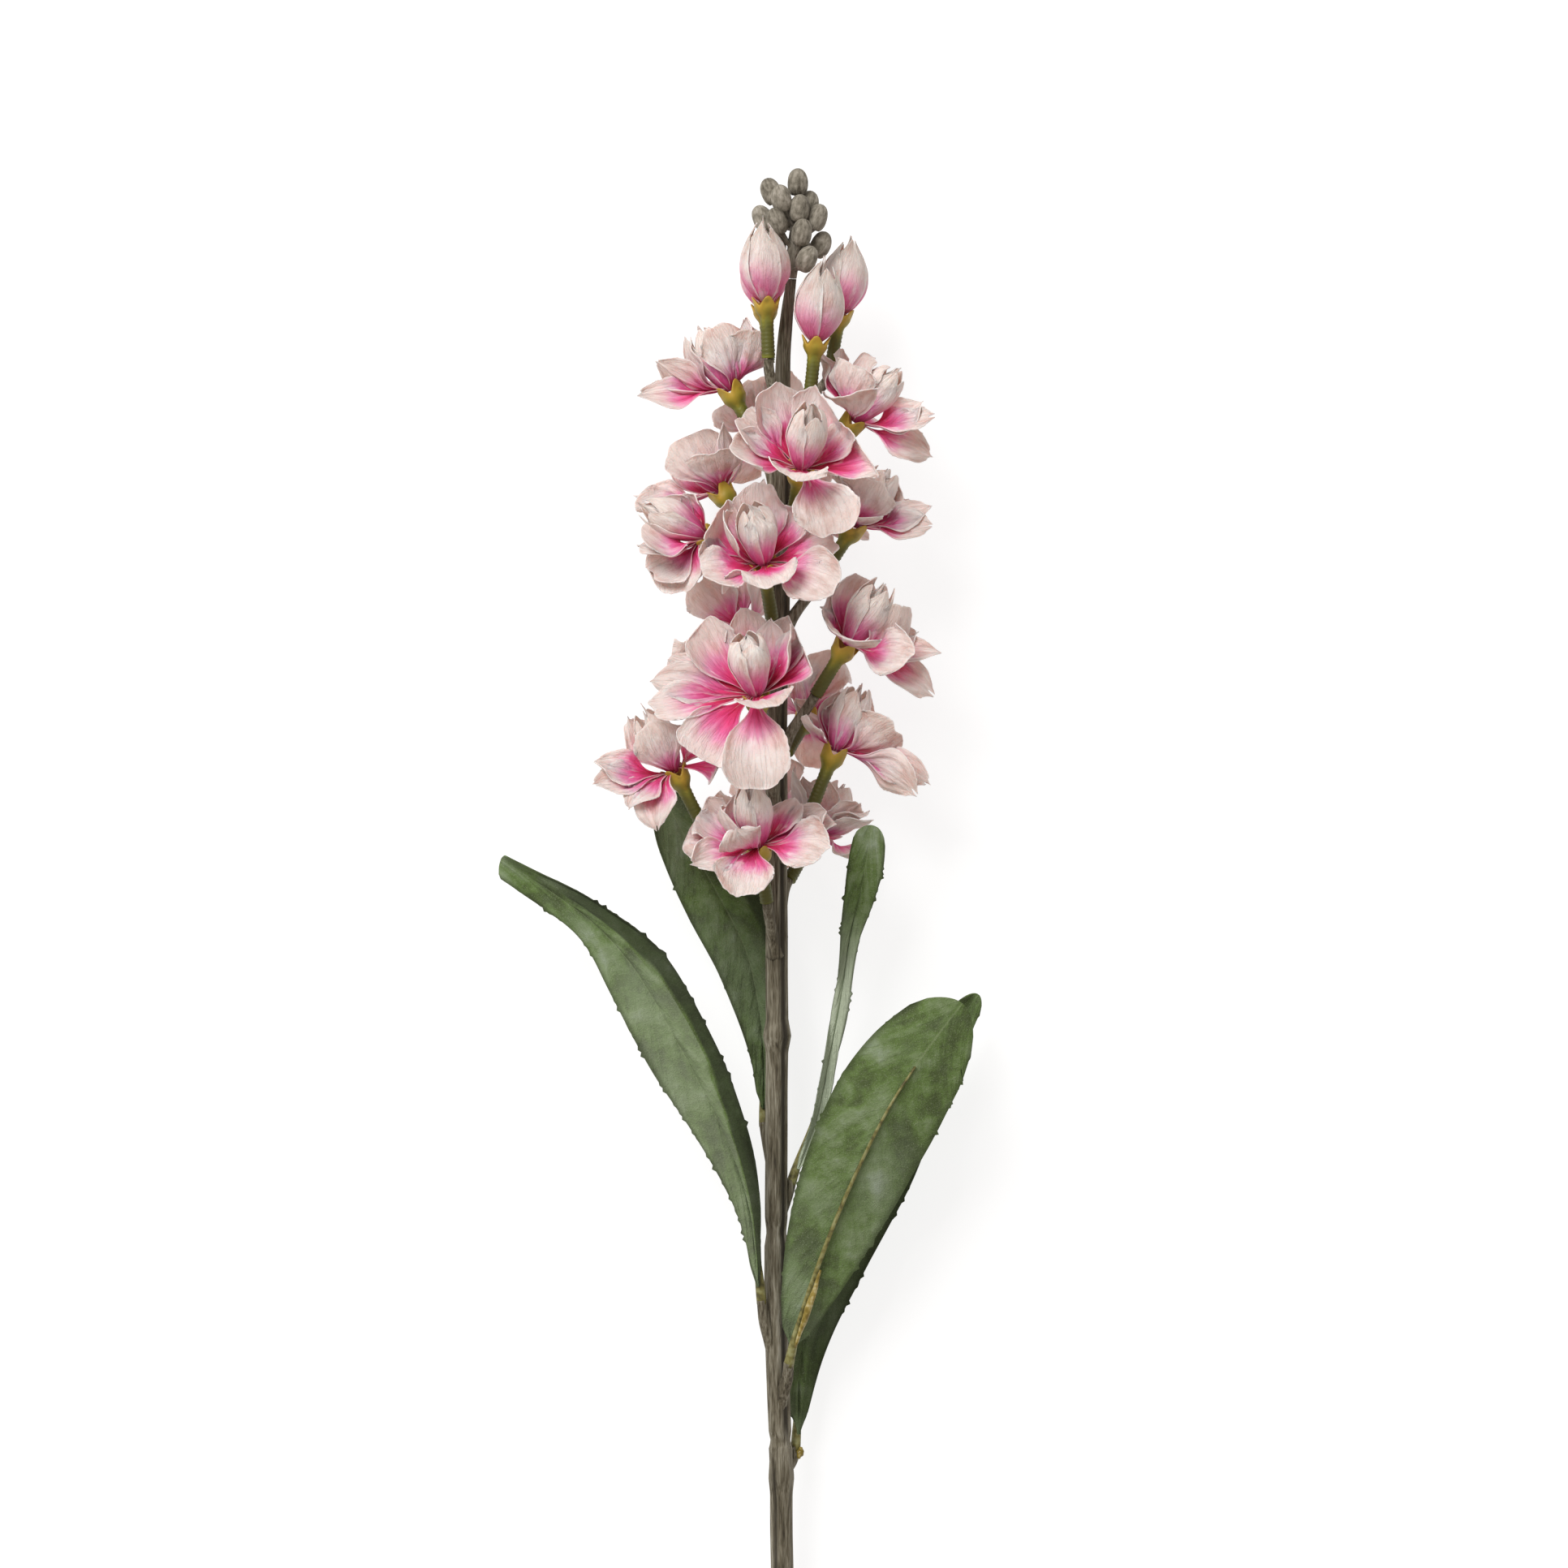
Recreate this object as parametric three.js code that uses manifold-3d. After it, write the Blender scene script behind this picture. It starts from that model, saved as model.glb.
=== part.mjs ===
// A cut stem of stock: a fluted stem with its pegs and leaf stubs, a cluster of green buds at its
// tip, pink buds and open blooms on green calyx tubes, and five leaves on moulded ribs.
// Millimetres. The plant is modelled upright, stem along +Y and face towards +Z, and is then laid
// on its back, so that it rests on its cut end and on the petals of its rear blooms.
import * as THREE from 'three';
import Module from 'manifold-3d';

const wasm = await Module();
wasm.setup();

// Stem and what it carries
const fluteDepth = 0.3;
const stemSides = 8;
const pegRadius = 1.5;
const pegFlare = 0.5;
const pegRise = 12;
const stubRadius = 2.2;
const joinGap = 0.35;

// The surface that it lies on: its distance under the stem's axis, and how that grows up the stem
const restClearance = 3.75;
const restSlope = 0.068;
const restSoftness = 3;

// One flower: calyx tube and cup, and the petals
const tubeRadius = 2.05;
const tubeLength = 12;
const tubeStandOff = 6.2;
const cupHeight = 5;
const cupRadius = 3.9;
const petalThickness = 0.62;

// How petals are bent clear of other flowers, of the stem and of other flowers' pegs and tubes;
// tiling lets a flower's petals hang over those of the one below it
const cellDepth = 9;
const closedDeeper = 3;
const cellGap = 0.5;
const cellSoftness = 1.6;
const cellTiling = { side: 0.6, front: 1.3 };
const stemKeepOut = 4.5;
const pegKeepOut = 2.6;
const tubeKeepOut = 3.1;
const cupKeepOut = 5.2;
const bendSoftness = 1.6;
const bendReach = 6;
const neighbourReach = 80;

// Leaves
const leafThickness = 0.7;
const ribRadius = 1.5;
const ribEnd = 0.8;
const ribSides = 5;

const degrees = Math.PI / 180;
const vec = (x, y, z) => new THREE.Vector3(x, y, z);

// The stem's sway to the right at each height, and its radius
const swayStops = [[0, 3.2], [65, 2.4], [130, 1.7], [165, 1.2], [200, 0], [240, -0.2], [290, 0],
  [390, 0], [425, 0.8], [463, 1.5], [500, 1.8], [515, 3.1], [528, 4.6], [550, 6.5]];
const stemRings = [[0, 3.5], [1.2, 3.7], [64, 3.6], [128, 3.6], [153, 3.6], [158, 4.1],
  [163, 3.7], [167, 3.8], [169, 3.1], [172, 3.6], [200, 3.7], [229, 3.8], [233.5, 3.1], [238, 3.6],
  [262, 3.5], [289, 3.6], [294, 4.5], [299, 3.6], [345, 3.5], [394, 3.4], [440, 3.1], [485, 2.7],
  [511, 2.2], [527, 1.6]];

// Open petals of the front blooms: each tip's place to the right of the flower's base, above it and
// in front of it, the petal's width, how far its face turns to the front (or its back, below nought),
// and the curl of its tip
const placedPetals = [
  [[6, 20, 6, 19, -0.8, 0.1], [-7, 21, 5, 17, -0.6, 0.1], [-29.5, -1.5, 8, 13, 0.6, 0.3],
    [-24, 10, 3, 13, -0.5, 0.3], [3, 26, -5, 15, 0.2, 0.1], [-25, 3, 0, 13, 0.3, 0.2],
    [-6, 6, -18, 16, 0, 0.3]],
  [[3, 21, 9, 18, -0.7, 0.1], [-3, 8, 15, 20, -0.7, 0.3], [8, 23, 1, 15, -0.4, 0],
    [22, 7, 3, 15, 0.6, 0.2], [26, 2, 8, 13, 0.5, 0.4], [25, -10, 2, 13, 0.7, 0.3],
    [5, 5, -18, 16, 0, 0.3]],
  [[-9, 28.5, -2, 22, 0, 0.1], [9, 28, -3, 20, 0, 0.1], [-19, 18, 5, 20, 0.3, 0.3],
    [-22, 6.5, 13, 19, 0.3, 0.3], [29, 7, 7, 20, 0.5, 0.2], [-2.5, -3, 21, 19, 0, 0.9],
    [9, -21, 12, 23, 0.8, 0.2], [18, 17, 2, 16, 0.2, 0.2]],
  [[-14, 19, 5, 23, -0.8, 0.1], [-2, 13, 13, 19, -0.8, 0.2], [-28, 0, 0, 15, 0.5, 0.3],
    [-27, -8, 6, 16, 0.6, 0.3], [-1, 24, -3, 15, 0, 0.1], [-17, 14, -12, 15, 0, 0.2],
    [4, 8, -16, 15, 0, 0.3]],
  [[8, 15, 8, 20, -0.7, 0.2], [25, 7, 4, 13, 0.6, 0.5], [25, 1, 8, 13, 0.6, 0.4],
    [14, 16, -4, 15, 0.2, 0.1], [-3, 17, 2, 15, 0, 0.1], [-1, 3, 14, 18, -0.5, 0.5],
    [18, 10, -10, 15, 0, 0.2]],
  [[-1, 27, -3, 19, 0, 0.1], [-22, 20, -2, 20, 0.5, 0.2], [-12, 17.5, 11, 14, -0.1, 0.2],
    [-19, -2, 13, 19, 0.5, 0.2], [4, -6, 19, 21, 0.2, 0.4], [22, -8.5, 13, 22, 0.7, 0.3],
    [23, 7.5, 4.5, 18, 0.5, 0.2]],
  [[-20, 4, 6, 20, 0.6, 0.2], [-22, -2, 9, 13, 0.5, 0.3], [-18.5, -12, 6, 17, 0.7, 0.3],
    [-8, -18, 8, 20, 0.6, 0.3], [-18, 10, -2, 15, 0.3, 0.2], [-10, -16, -4, 15, 0, 0.2],
    [-8, 14, -2, 15, 0, 0.1]],
  [[6, 23, -4, 20, 0.2, 0.1], [18, 13.5, 5, 19, -0.6, 0.1], [-2, 3, 17, 20, 0, 0.9],
    [21, -3, 11, 19, 0.7, 0.4], [30, -1.5, 0, 13, 0.4, 0.3], [28, -14.5, 3, 13, 0.5, 0.2],
    [23, 5, -6, 15, 0.4, 0.2]],
  [[-20, 26, -2, 19, 0.5, 0.1], [14, 27, -2, 18, 0.1, 0.1], [10, 23.5, 8, 14, -0.1, 0.1],
    [22, 19, 6, 15, 0.3, 0.2], [5, -2.5, 20, 19, 0, 0.9], [-34, 6, 0, 15, 0.5, 0.3],
    [-34, -4, 6, 16, 0.5, 0.3], [-19, -22, 11, 22, 0.9, 0.3], [2, -28, 13, 23, 0.9, 0.3]],
  [[-9, 16, 10, 18, -0.5, 0.15], [-26, 4, 6, 13, 0.6, 0.5], [-26, -3, 9, 13, 0.6, 0.4],
    [-14.5, -10.5, 12, 13, 0.6, 0.4], [-5.5, -17, 13, 15, 0.7, 0.3], [27, -5, 8, 14, 0.8, 0.1],
    [10, 12, -6, 16, 0.3, 0.1]],
  [[20, 9, 6, 20, -0.7, 0.3], [5, 17, -3, 16, 0, 0.1], [30, -9.5, 4, 13, 0.7, 0.3],
    [26, -13, 9, 15, -0.7, 0.3], [-13, 17, -4, 15, 0.3, 0.1], [23, -3, -3, 15, 0.5, 0.2],
    [8, 6, -18, 16, 0, 0.3]],
  [[-22, 14, -2, 19, 0.4, 0.1], [-27, 7, 0, 17, 0.4, 0.2], [-21, -4, 12, 13, 0.6, 0.2],
    [-7, 7, 16, 15, -0.8, -0.3], [-4.5, -14, 14, 21, 0.7, 0.2], [21, -1, 13, 19, 0.6, 0.4],
    [22, 11, 4, 15, 0.4, 0.2]],
  [[18, 9.5, 8, 12, 0.4, 0.4], [15, 12, 4, 13, 0.4, 0.2], [19, 6.5, 7, 13, 0.4, 0.3],
    [14, -8, 7, 13, 0.5, 0.2], [-3, 20, 2, 15, 0.2, 0], [4, 20, 0, 15, 0, 0.1],
    [6, 4, -12, 15, 0, 0.3]],
];

// The rear blooms: two whorls of petals, with the tips of low petals out and up from the flower's
// base by this much, and those at the top of the flower by standOut and standUp
const rearWhorls = [
  { petals: 4, out: 24, up: 4, standOut: 13, standUp: 23, width: 19, turn: 0, curl: 0.25 },
  { petals: 2, out: 14, up: 18, standOut: 9, standUp: 21, width: 16, turn: 45, curl: 0.1 },
];

// One petal: where its root is, how far it bows outwards and how long the pull at root and tip is as a
// share of it, the radius that it cups to, how its tip is rounded, its width along it as a share, and
// the rows of points that shape it
const rootOut = 2;
const rootUp = 2.2;
const petalBow = 1.3;
const rootPull = 0.38;
const tipPull = 0.34;
const petalCup = 15;
const tipRound = 0.3;
const pointedBelow = 13.5;
const roundPetal = {
  blunt: 1, widthAt: through([[0, 0.06], [0.2, 0.25], [0.45, 0.8], [0.7, 1], [0.86, 0.98], [1, 0.82]]),
};
const pointedPetal = {
  blunt: 0.3, widthAt: through([[0, 0.08], [0.25, 0.4], [0.5, 1], [0.75, 0.86], [0.9, 0.55], [1, 0.16]]),
};
const wideAbove = 19.5;
const wideRows = [[0, [-1, 1]], [0.42, [-1, 0, 1]], [0.76, [-1, 0, 1]], [1, [-1, 1]]];
const slimRows = [[0, [-1, 1]], [0.5, [-1, 0, 1]], [1, [-1, 1]]];

// The closed petals in the middle of an open flower, and those of a bud: distance up and radius of
// each ring, and how the edge of each petal stands out over the one that it wraps
const closedHeart = { petals: 5, steps: [[0.02, 1.1], [0.88, 0.92]], tip: 1.7, sunk: 4,
  rings: [[9.5, 4.4], [13, 6.6], [17.5, 6.2], [22, 3.8]] };
const core = [[0.1, 2.7], [10.9, 3]];
const coreSides = 5;
const closedBud = { petals: 5, steps: [[0.02, 1.1], [0.45, 1.02], [0.9, 0.9]], tip: 1.9, sunk: 4,
  rings: [[0, 1.5], [2.6, 3.9], [8, 7.3], [14, 7.7], [19, 5.9], [22.4, 3.4]] };
const wrapTwist = 1.6;

// Flowers: height up the stem, azimuth round it (0 faces front, 90 right), reach from its axis,
// lift of the flower's own axis above level, turn about that axis, and size
const openFlowers = [
  { height: 492, azimuth: -100, reach: 15.5, lift: 62, turn: 0, size: 1 },
  { height: 482, azimuth: 82, reach: 21.5, lift: 50, turn: 54, size: 1 },
  { height: 466, azimuth: 17, reach: 19, lift: 58, turn: 64, size: 1.04 },
  { height: 461, azimuth: -116, reach: 20, lift: 52, turn: 30, size: 1 },
  { height: 450, azimuth: 96, reach: 22, lift: 58, turn: 12, size: 1 },
  { height: 437, azimuth: -15, reach: 19, lift: 58, turn: 20, size: 1.04 },
  { height: 447, azimuth: -80, reach: 22.5, lift: 26, turn: 50, size: 1 },
  { height: 413, azimuth: 67, reach: 22, lift: 56, turn: 15, size: 1.06 },
  { height: 397, azimuth: -18, reach: 19.5, lift: 60, turn: 19, size: 1.08 },
  { height: 374, azimuth: -72, reach: 32, lift: 62, turn: 5, size: 1 },
  { height: 380.5, azimuth: 90, reach: 17.5, lift: 68, turn: 33, size: 1.02 },
  { height: 351, azimuth: -20, reach: 15.5, lift: 66, turn: 44, size: 1 },
  { height: 354, azimuth: 140, reach: 17, lift: 48, turn: 30, size: 1 },
  { height: 358, azimuth: -178, reach: 18, lift: 42, turn: 2, size: 0.98 },
  { height: 478, azimuth: -168, reach: 19, lift: 44, turn: 28, size: 0.98 },
  { height: 452, azimuth: 162, reach: 19, lift: 42, turn: 9, size: 0.98 },
  { height: 418, azimuth: -146, reach: 19, lift: 40, turn: 38, size: 1 },
  { height: 391, azimuth: 150, reach: 18, lift: 40, turn: 21, size: 1 },
];
const pinkBuds = [
  { height: 519, azimuth: -36, reach: 11.5, lift: 86, turn: 0, size: 1 },
  { height: 507, azimuth: 48, reach: 13, lift: 82, turn: 30, size: 1 },
  { height: 517, azimuth: 120, reach: 18.5, lift: 80, turn: 14, size: 0.96 },
  { height: 519, azimuth: -148, reach: 13.5, lift: 84, turn: 50, size: 0.92 },
];

// Green buds at the tip: place of each bud's middle
const tipBuds = [[6.5, 557, 0], [-1.8, 554, 1.5], [1.4, 551.5, 5], [-4.4, 546, -1.5], [0, 544.5, 4.6],
  [7, 548.5, 4.4], [9.8, 550.5, -2.5], [12.5, 546, 1.5], [7.8, 541, 5.2], [13.6, 538, -2], [9.4, 533, 4.4],
  [-0.5, 538.5, -1.5], [4.6, 547, -5.8], [7.4, 537, -6.6]];
const tipBudSize = { radius: 3.25, length: 8.4 };

// Leaves: the stub on the stem, the rib's path, the blade's width and outline, the side that the rib
// is on, the turn of the face away from the front at root and tip, and the depth of its channel
const leaves = [
  {
    stub: [[-0.8, 196, 0.5], [-3.4, 205, 2.2], [-4.6, 213, 3.4]],
    rib: [[-4.9, 216, 3.9], [-8.5, 243, 7], [-17, 267, 10], [-33, 298, 11], [-44, 316, 9], [-56, 329, 5],
      [-77, 344, -2], [-84.5, 348.5, -5]],
    width: 20, outline: [[0, 0.12], [0.1, 0.24], [0.2, 0.45], [0.32, 0.8], [0.47, 1], [0.65, 0.95],
      [0.8, 0.74], [0.92, 0.44], [1, 0.18]],
    ribSide: -1, face: [-14, -30], channel: 2.6, wave: 1,
  },
  {
    stub: [[-0.4, 250, -0.6], [-2.6, 260, -2.4], [-4, 267, -3.8]],
    rib: [[-4.4, 270, -4.4], [-4.2, 287, -8], [-5.8, 303, -11.5], [-9.4, 319, -13.5], [-16.5, 334, -15],
      [-25, 349, -16], [-36.5, 370, -17]],
    width: 23, outline: [[0, 0.1], [0.15, 0.36], [0.4, 0.85], [0.62, 1], [0.85, 0.75], [1, 0.22]],
    ribSide: -1, face: [6, -4], channel: 2.6, wave: 1.3,
  },
  {
    stub: [[0.6, 238, -0.6], [3, 244, -2.4], [4.6, 249, -3.4]],
    rib: [[5.2, 252, -3.8], [11.5, 268, -5], [16, 288, -5.5], [19.6, 306, -4.5], [22.6, 325, -2],
      [26, 339, 0.8], [29.6, 359, 4]],
    width: 11, outline: [[0, 0.15], [0.15, 0.4], [0.3, 0.5], [0.5, 0.45], [0.65, 0.5], [0.8, 0.85],
      [0.9, 1], [1, 0.35]],
    ribSide: -1, face: [76, 20], channel: 1.6, wave: 1.2,
  },
  {
    stub: [[0.8, 180, 1], [3, 188, 4], [3.8, 194, 6.4]],
    rib: [[4.1, 197, 7.4], [10.5, 218, 11], [23, 250, 15], [35.5, 275, 17], [46, 290.5, 16.5],
      [57, 304.5, 14]],
    width: 34, outline: [[0, 0.1], [0.12, 0.42], [0.35, 0.8], [0.6, 1], [0.8, 0.93], [0.92, 0.7],
      [0.97, 0.48], [1, 0.2]],
    ribSide: 1, face: [0, 8], channel: -2.4, wave: 1,
  },
  {
    stub: [[1.4, 158, -1], [4.6, 163, -3], [6, 166.5, -4]],
    rib: [[6.4, 169, -4.6], [7.5, 195, -9], [16, 225, -12], [29, 252, -13], [45, 282, -12],
      [62.5, 306.5, -9]],
    width: 26, outline: [[0, 0.08], [0.15, 0.46], [0.4, 0.95], [0.6, 1], [0.85, 0.62], [1, 0.14]],
    ribSide: -1, face: [8, 0], channel: 2.4, wave: 1.2,
  },
];

const finish = (color, roughness) => new THREE.MeshStandardMaterial({ color, roughness, metalness: 0 });
const finishes = {
  stem: finish('#7a7263', 0.8),
  tip: finish('#7d7d6c', 0.85),
  calyx: finish('#7f8430', 0.6),
  petals: finish('#ecc9cb', 0.85),
  leaf: finish('#56694a', 0.85),
  rib: finish('#8d8148', 0.7),
};

// A repeatable draw from -1 to 1 for a pair of whole numbers
function draw(first, second) {
  const wave = Math.sin(first * 127.1 + second * 311.7) * 43758.5453;
  return 2 * (wave - Math.floor(wave)) - 1;
}

// A smooth curve through [place, value] stops, level beyond its ends
function through(stops) {
  const last = stops.length - 1;
  const slope = (i) => {
    const before = stops[Math.max(i - 1, 0)];
    const after = stops[Math.min(i + 1, last)];
    return (after[1] - before[1]) / (after[0] - before[0]);
  };
  return (place) => {
    const at = Math.min(Math.max(place, stops[0][0]), stops[last][0]);
    let i = 0;
    while (i < last - 1 && stops[i + 1][0] < at) i += 1;
    const span = stops[i + 1][0] - stops[i][0];
    const u = (at - stops[i][0]) / span;
    const [low, high] = [stops[i][1], stops[i + 1][1]];
    const bend = (1 - u) * slope(i) * span - u * slope(i + 1) * span + (2 * u - 1) * (high - low);
    return low + (high - low) * u + u * (1 - u) * bend;
  };
}
const swayAt = through(swayStops);

// A value held above a bound, easing into it over the softness
function heldAbove(value, bound, softness) {
  const spare = value - bound - softness;
  return spare > 0 ? value : bound + softness * Math.exp(spare / softness);
}

// A closed solid from its points and triangles
function solid(points, triangles) {
  const vertProperties = new Float32Array(points.flatMap((point) => point.toArray()));
  const mesh = new wasm.Mesh({ numProp: 3, vertProperties, triVerts: new Uint32Array(triangles.flat()) });
  return new wasm.Manifold(mesh);
}

// Solids joined into one body, without loose scraps or sealed hollows
function joined(pieces) {
  const bodies = wasm.Manifold.union(pieces).decompose();
  return bodies.reduce((largest, body) => (body.volume() > largest.volume() ? body : largest));
}

// A closed solid through rings of points, each end capped from its middle, the last one raised by rise
function loft(rings, rise = 0) {
  const sides = rings[0].length;
  const middle = (ring) => ring.reduce((sum, point) => sum.add(point), vec(0, 0, 0)).divideScalar(sides);
  const [first, last] = [middle(rings[0]), middle(rings.at(-1))];
  const run = last.clone().sub(middle(rings.at(-2))).normalize();
  const points = [...rings.flat(), first, last.addScaledVector(run, rise)];
  const [foot, head] = [points.length - 2, points.length - 1];
  const top = (rings.length - 1) * sides;
  const triangles = [];
  for (let side = 0; side < sides; side += 1) {
    const next = (side + 1) % sides;
    triangles.push([foot, next, side], [head, top + side, top + next]);
    for (let row = 0; row < top; row += sides) {
      triangles.push([row + side, row + next, row + sides + next]);
      triangles.push([row + side, row + sides + next, row + sides + side]);
    }
  }
  return solid(points, triangles);
}

// A ring of points about a centre; right and ahead are its two directions
function ring(centre, right, ahead, radii) {
  return radii.map((radius, i) => {
    const angle = 2 * Math.PI * i / radii.length;
    return centre.clone().addScaledVector(right, radius * Math.cos(angle))
      .addScaledVector(ahead, radius * Math.sin(angle));
  });
}

// A tapered round bar along a curve; reference is a direction that stays across it
function bar(curve, steps, sides, radiusAt, reference) {
  const rings = [];
  for (let step = 0; step <= steps; step += 1) {
    const u = step / steps;
    const ahead = curve.getTangent(u);
    const right = reference.clone().addScaledVector(ahead, -reference.dot(ahead)).normalize();
    const side = vec(0, 0, 0).crossVectors(ahead, right);
    rings.push(ring(curve.getPoint(u), right, side, Array(sides).fill(radiusAt(u))));
  }
  return loft(rings);
}

// Point and normal of a sheet at s along it and t across it
function sheetPoint(sheet, s, t) {
  const step = 0.02;
  const point = sheet(s, t);
  const along = sheet(Math.min(s + step, 1), t).sub(sheet(Math.max(s - step, 0), t));
  const across = sheet(s, Math.min(t + step, 1)).sub(sheet(s, Math.max(t - step, -1)));
  return { point, normal: across.cross(along).normalize() };
}

// A closed blade about a sheet: rows are [s, [t...]], and both faces are split alike
function blade(sheet, rows, thickness) {
  const upper = [];
  const lower = [];
  const starts = [];
  for (const [s, across] of rows) {
    starts.push(upper.length);
    for (const t of across) {
      const { point, normal } = sheetPoint(sheet, s, t);
      upper.push(point.clone().addScaledVector(normal, thickness / 2));
      lower.push(point.clone().addScaledVector(normal, -thickness / 2));
    }
  }
  const back = upper.length;
  const triangles = [];
  const face = (a, b, c) => triangles.push([a, b, c], [back + a, back + c, back + b]);
  const wall = (a, b) => triangles.push([a, back + a, back + b], [a, back + b, b]);
  for (let row = 0; row < rows.length - 1; row += 1) {
    const [near, far] = [rows[row][1], rows[row + 1][1]];
    const [a, b] = [starts[row], starts[row + 1]];
    let [i, j] = [0, 0];
    while (i < near.length - 1 || j < far.length - 1) {
      const alongNear = j === far.length - 1 || (i < near.length - 1 && near[i + 1] <= far[j + 1]);
      if (alongNear) face(a + i, a + i + 1, b + j);
      else face(a + i, b + j + 1, b + j);
      if (alongNear) i += 1;
      else j += 1;
    }
    wall(a + near.length - 1, b + far.length - 1);
    wall(b, a);
  }
  const [foot, head] = [rows[0][1].length - 1, rows.at(-1)[1].length - 1];
  for (let i = 0; i < foot; i += 1) wall(i, i + 1);
  for (let i = head; i > 0; i -= 1) wall(starts.at(-1) + i, starts.at(-1) + i - 1);
  return solid([...upper, ...lower], triangles);
}

// Where a flower sits: its base, its axis and two directions across it, its peg and its calyx
function place(flower, number, closed) {
  const round = flower.azimuth * degrees;
  const lift = flower.lift * degrees;
  const up = vec(0, 1, 0);
  const out = vec(Math.sin(round), 0, Math.cos(round));
  const axis = out.clone().multiplyScalar(Math.cos(lift)).addScaledVector(up, Math.sin(lift));
  const side = vec(0, 0, 0).crossVectors(up, out);
  const top = vec(0, 0, 0).crossVectors(axis, side);
  const base = vec(swayAt(flower.height), flower.height, 0).addScaledVector(out, flower.reach);
  const room = (flower.reach - tubeStandOff) / Math.cos(lift) - cupHeight;
  const tube = Math.min(tubeLength, room);
  const tubeFoot = base.clone().addScaledVector(axis, -cupHeight - tube);
  const pegEnd = tubeFoot.clone().addScaledVector(axis, -joinGap);
  const rootHeight = pegEnd.y - pegRise - 0.3 * flower.reach;
  const pegRoot = vec(swayAt(rootHeight), rootHeight, 0).addScaledVector(out, 1.2);
  const pull = 0.36 * pegRoot.distanceTo(pegEnd);
  const leave = pegRoot.clone().addScaledVector(out, 0.35 * pull).addScaledVector(up, 0.95 * pull);
  const arrive = pegEnd.clone().addScaledVector(axis, -pull);
  const peg = new THREE.CubicBezierCurve3(pegRoot, leave, arrive, pegEnd);
  const heart = base.clone().addScaledVector(axis, cellDepth + (closed ? closedDeeper : 0));
  return { ...flower, number, closed, out, axis, side, top, base, tube, tubeFoot, peg, heart };
}
const blooms = openFlowers.map((flower, i) => place(flower, i + 1, false));
const buds = pinkBuds.map((flower, i) => place(flower, openFlowers.length + i + 1, true));
const flowers = [...blooms, ...buds];

// Bars that petals of other flowers are bent clear of: peg, tube and cup of each flower
function barsOf(flower) {
  const middle = flower.peg.getPoint(0.55);
  const cupFoot = flower.base.clone().addScaledVector(flower.axis, -cupHeight);
  return [
    { from: flower.peg.getPoint(0.1), to: middle, radius: pegKeepOut },
    { from: middle, to: flower.tubeFoot, radius: pegKeepOut },
    { from: flower.tubeFoot, to: cupFoot, radius: tubeKeepOut },
    { from: cupFoot, to: flower.base, radius: cupKeepOut },
  ];
}

// Moves a point clear of a bar, towards the side that its own flower's heart is on
function bentClear(point, { from, to, radius }, heart) {
  const along = to.clone().sub(from);
  const length = along.length();
  along.divideScalar(length);
  const towards = heart.clone().sub(from);
  towards.addScaledVector(along, -towards.dot(along)).normalize();
  const offset = point.clone().sub(from);
  const run = offset.dot(along);
  const beyond = Math.max(0, -run, run - length);
  const across = offset.addScaledVector(along, -run);
  const clear = across.dot(towards);
  if (clear < -bendReach * radius) return;
  const aside = across.addScaledVector(towards, -clear).length();
  const bound = 1.3 * radius - (aside * aside + beyond * beyond) / (2.1 * radius);
  point.addScaledVector(towards, heldAbove(clear, bound, bendSoftness) - clear);
}

// What shapes the petals of one flower: its neighbours' halves of the space, the stem and their bars
function clearance(flower) {
  const near = flowers.filter((other) => other !== flower
    && other.heart.distanceTo(flower.heart) < neighbourReach);
  const walls = near.map((other) => {
    const apart = other.heart.clone().sub(flower.heart);
    const away = apart.clone().normalize();
    const outward = flower.out.clone().add(other.out).multiplyScalar(0.5);
    const tiling = cellTiling.side + (cellTiling.front - cellTiling.side) * Math.max(0, outward.z);
    away.addScaledVector(outward, tiling * away.y).normalize();
    return { away, limit: apart.dot(away) / 2 - cellGap };
  });
  const bars = near.flatMap(barsOf);
  const passes = 2;
  return (point) => {
    for (let pass = 0; pass < passes; pass += 1) {
      for (const { away, limit } of walls) {
        const reach = point.clone().sub(flower.heart).dot(away);
        point.addScaledVector(away, -heldAbove(-reach, -limit, cellSoftness) - reach);
      }
      const axisX = swayAt(point.y);
      const outward = (point.x - axisX) * flower.out.x + point.z * flower.out.z;
      const aside = (point.x - axisX) * flower.side.x + point.z * flower.side.z;
      const bound = 1.25 * stemKeepOut - aside * aside / (2 * stemKeepOut);
      point.addScaledVector(flower.out, heldAbove(outward, bound, bendSoftness) - outward);
      for (const bar of bars) bentClear(point, bar, flower.heart);
    }
    const offset = point.clone().sub(flower.heart);
    const excess = Math.max(1, ...walls.map(({ away, limit }) => offset.dot(away) / limit));
    point.copy(flower.heart).addScaledVector(offset, 1 / excess);
    const depth = point.z + restClearance + restSlope * point.y;
    point.z += heldAbove(depth, petalThickness / 2, restSoftness) - depth;
    return point;
  };
}

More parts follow.
